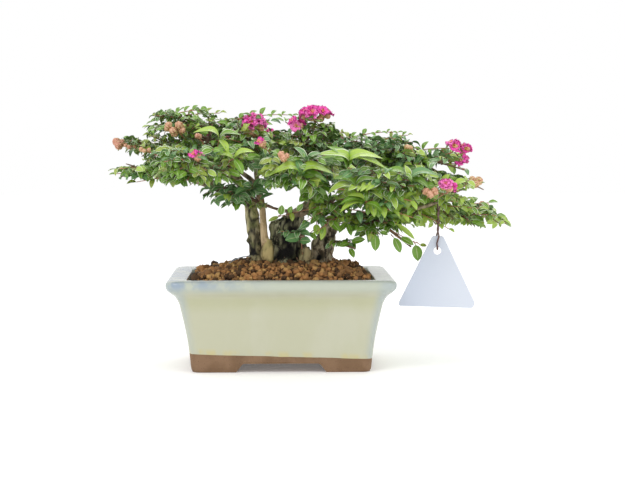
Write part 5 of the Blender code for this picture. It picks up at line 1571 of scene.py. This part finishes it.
def tag_finish():
    """Milky plastic with a cool grey tone, and painted shade that deepens it towards its left side."""
    made, shader, place = new_finish("milky tag plastic")
    x = add_node("SeparateXYZ", {}, {"Vector": place}).outputs[0]
    # painted shade: darker towards the tag's left side
    shade = rise(plus(x, times(noise(place, 25.0, 2.0), 0.03)), 0.085, 0.165)
    join(shader, {"Base Color": mix(shade, (0.5, 0.55, 0.65), (0.61, 0.65, 0.73)),
                  "Roughness": 0.38, "Normal": relief(noise(place, 180.0, 2.0), 0.0002)})
    return made


rim = rounded_outline(TAG_CORNERS, TAG_POINTS)
hole = unit(rim) * TAG_HOLE_RADIUS
rows = []
# round the plate's section: how far out of line, share of the way to the rim, share of thickness
for inner, share, depth in (
        (0.15, 0.0, 0.5), (0.0, 0.0, 0.3), (0.0, 0.0, -0.3), (0.15, 0.0, -0.5),
        (0.0, 0.35, -0.5), (0.0, 0.7, -0.5), (-0.2, 1.0, -0.5), (0.0, 1.0, -0.28),
        (0.0, 1.0, 0.28), (-0.2, 1.0, 0.5), (0.0, 0.7, 0.5), (0.0, 0.35, 0.5),
        (0.15, 0.0, 0.5)):
    flat = hole * (1.0 - share) + rim * share + unit(rim) * inner
    turned_x = flat[:, 0] * math.cos(TAG_LEAN) + flat[:, 1] * math.sin(TAG_LEAN)
    turned_z = -flat[:, 0] * math.sin(TAG_LEAN) + flat[:, 1] * math.cos(TAG_LEAN)
    rows.append(TAG_HOLE + xyz(turned_x, depth * TAG_THICK, turned_z))
tag = add_mesh("blank_tag", np.array(rows) * MM, [grid_quads(len(rows), TAG_POINTS)], tag_finish())
tag.data.set_sharp_from_angle(angle=math.radians(40.0))
dress(tag, "tag", "tag")

bough = limbs["tag"]
top = bough.at(0.955)
hold = bough.radii[-1] * 1.12 + CLEAR + TIE_RADIUS
low = TAG_HOLE[2] + TAG_HOLE_RADIUS - CLEAR - TIE_RADIUS - TIE_NARROW * 0.3
angle = np.linspace(0.0, math.pi, 13)
over = top + xyz(0.0, hold * np.cos(angle), hold * np.sin(angle))
under = xyz(TAG_HOLE[0], TAG_HOLE[1] - TIE_NARROW * np.cos(angle),
            low - TIE_NARROW * 0.3 * np.sin(angle))
share = np.linspace(0.0, 1.0, 34)[1:-1, None]
down = over[-1] + (under[0] - over[-1]) * share
up = under[-1] + (over[0] - under[-1]) * share
for side, line in ((1, down), (-1, up[::-1])):
    phase = np.linspace(0.0, 3.0 * math.tau, len(line))
    line[:, 0] += side * TIE_TWIST * np.sin(phase)
loop = np.vstack((over, down, under, up, over[:1]))
strands = 1.0 + 0.14 * np.cos(3.0 * (full_turn(18)[None, :]
                                     + np.linspace(0.0, 60.0, len(loop))[:, None]))
points, faces = tubes(loop[None] * MM, np.full((1, len(loop)), TIE_RADIUS) * MM, 18, strands[None])
dress(add_mesh("tag_cord", points, faces, speckled(
    "waxed brown cord", (0.09, 0.045, 0.04), (0.21, 0.12, 0.11),
    (900.0, 3.0, (1.0, 1.0, 0.35)), 0.4, 0.65, 0.7, 0.0005)), "tie", "tag_tie")


# ---- wire and rootlets -------------------------------------------------------------------
# A thin blue-grey training wire comes out of the clump into the soil on the left, and dead
# rootlets reach down from the stems among the granules.

WIRE = ((-64, -13, 109.5), (-86, -22, 102.5), 0.45)
ROOTLETS = (                               # start, end and radius at the start
    ((15, -9, 115), (23, -19, 101), 0.6), ((-30, -13, 108), (-22, -24, 101), 0.9),
    ((-60, 4, 108), (-74, -6, 100.5), 1.0), ((-18, -14, 108), (-14, -27, 100.5), 0.8),
    ((12, -8, 106), (20, -14, 100), 1.3), ((-64, -2, 107), (-70, -14, 100), 1.3),
    ((-38, -13, 106), (-40, -24, 100), 1.1),
)
for name, lines, surface in (
        ("training_wire", (WIRE,), plain("blue-grey wire", (0.3, 0.36, 0.43), 0.4)),
        ("rootlets", ROOTLETS, old_wood)):
    starts, ends, thick = floats(*zip(*lines))
    radii = thick[:, None] * np.linspace(1.0, 0.6 if len(lines) > 1 else 1.0, 12)
    add_tubes(name, arcs(starts, ends, 0.1, 12, rng), radii, 8, surface, "bark")
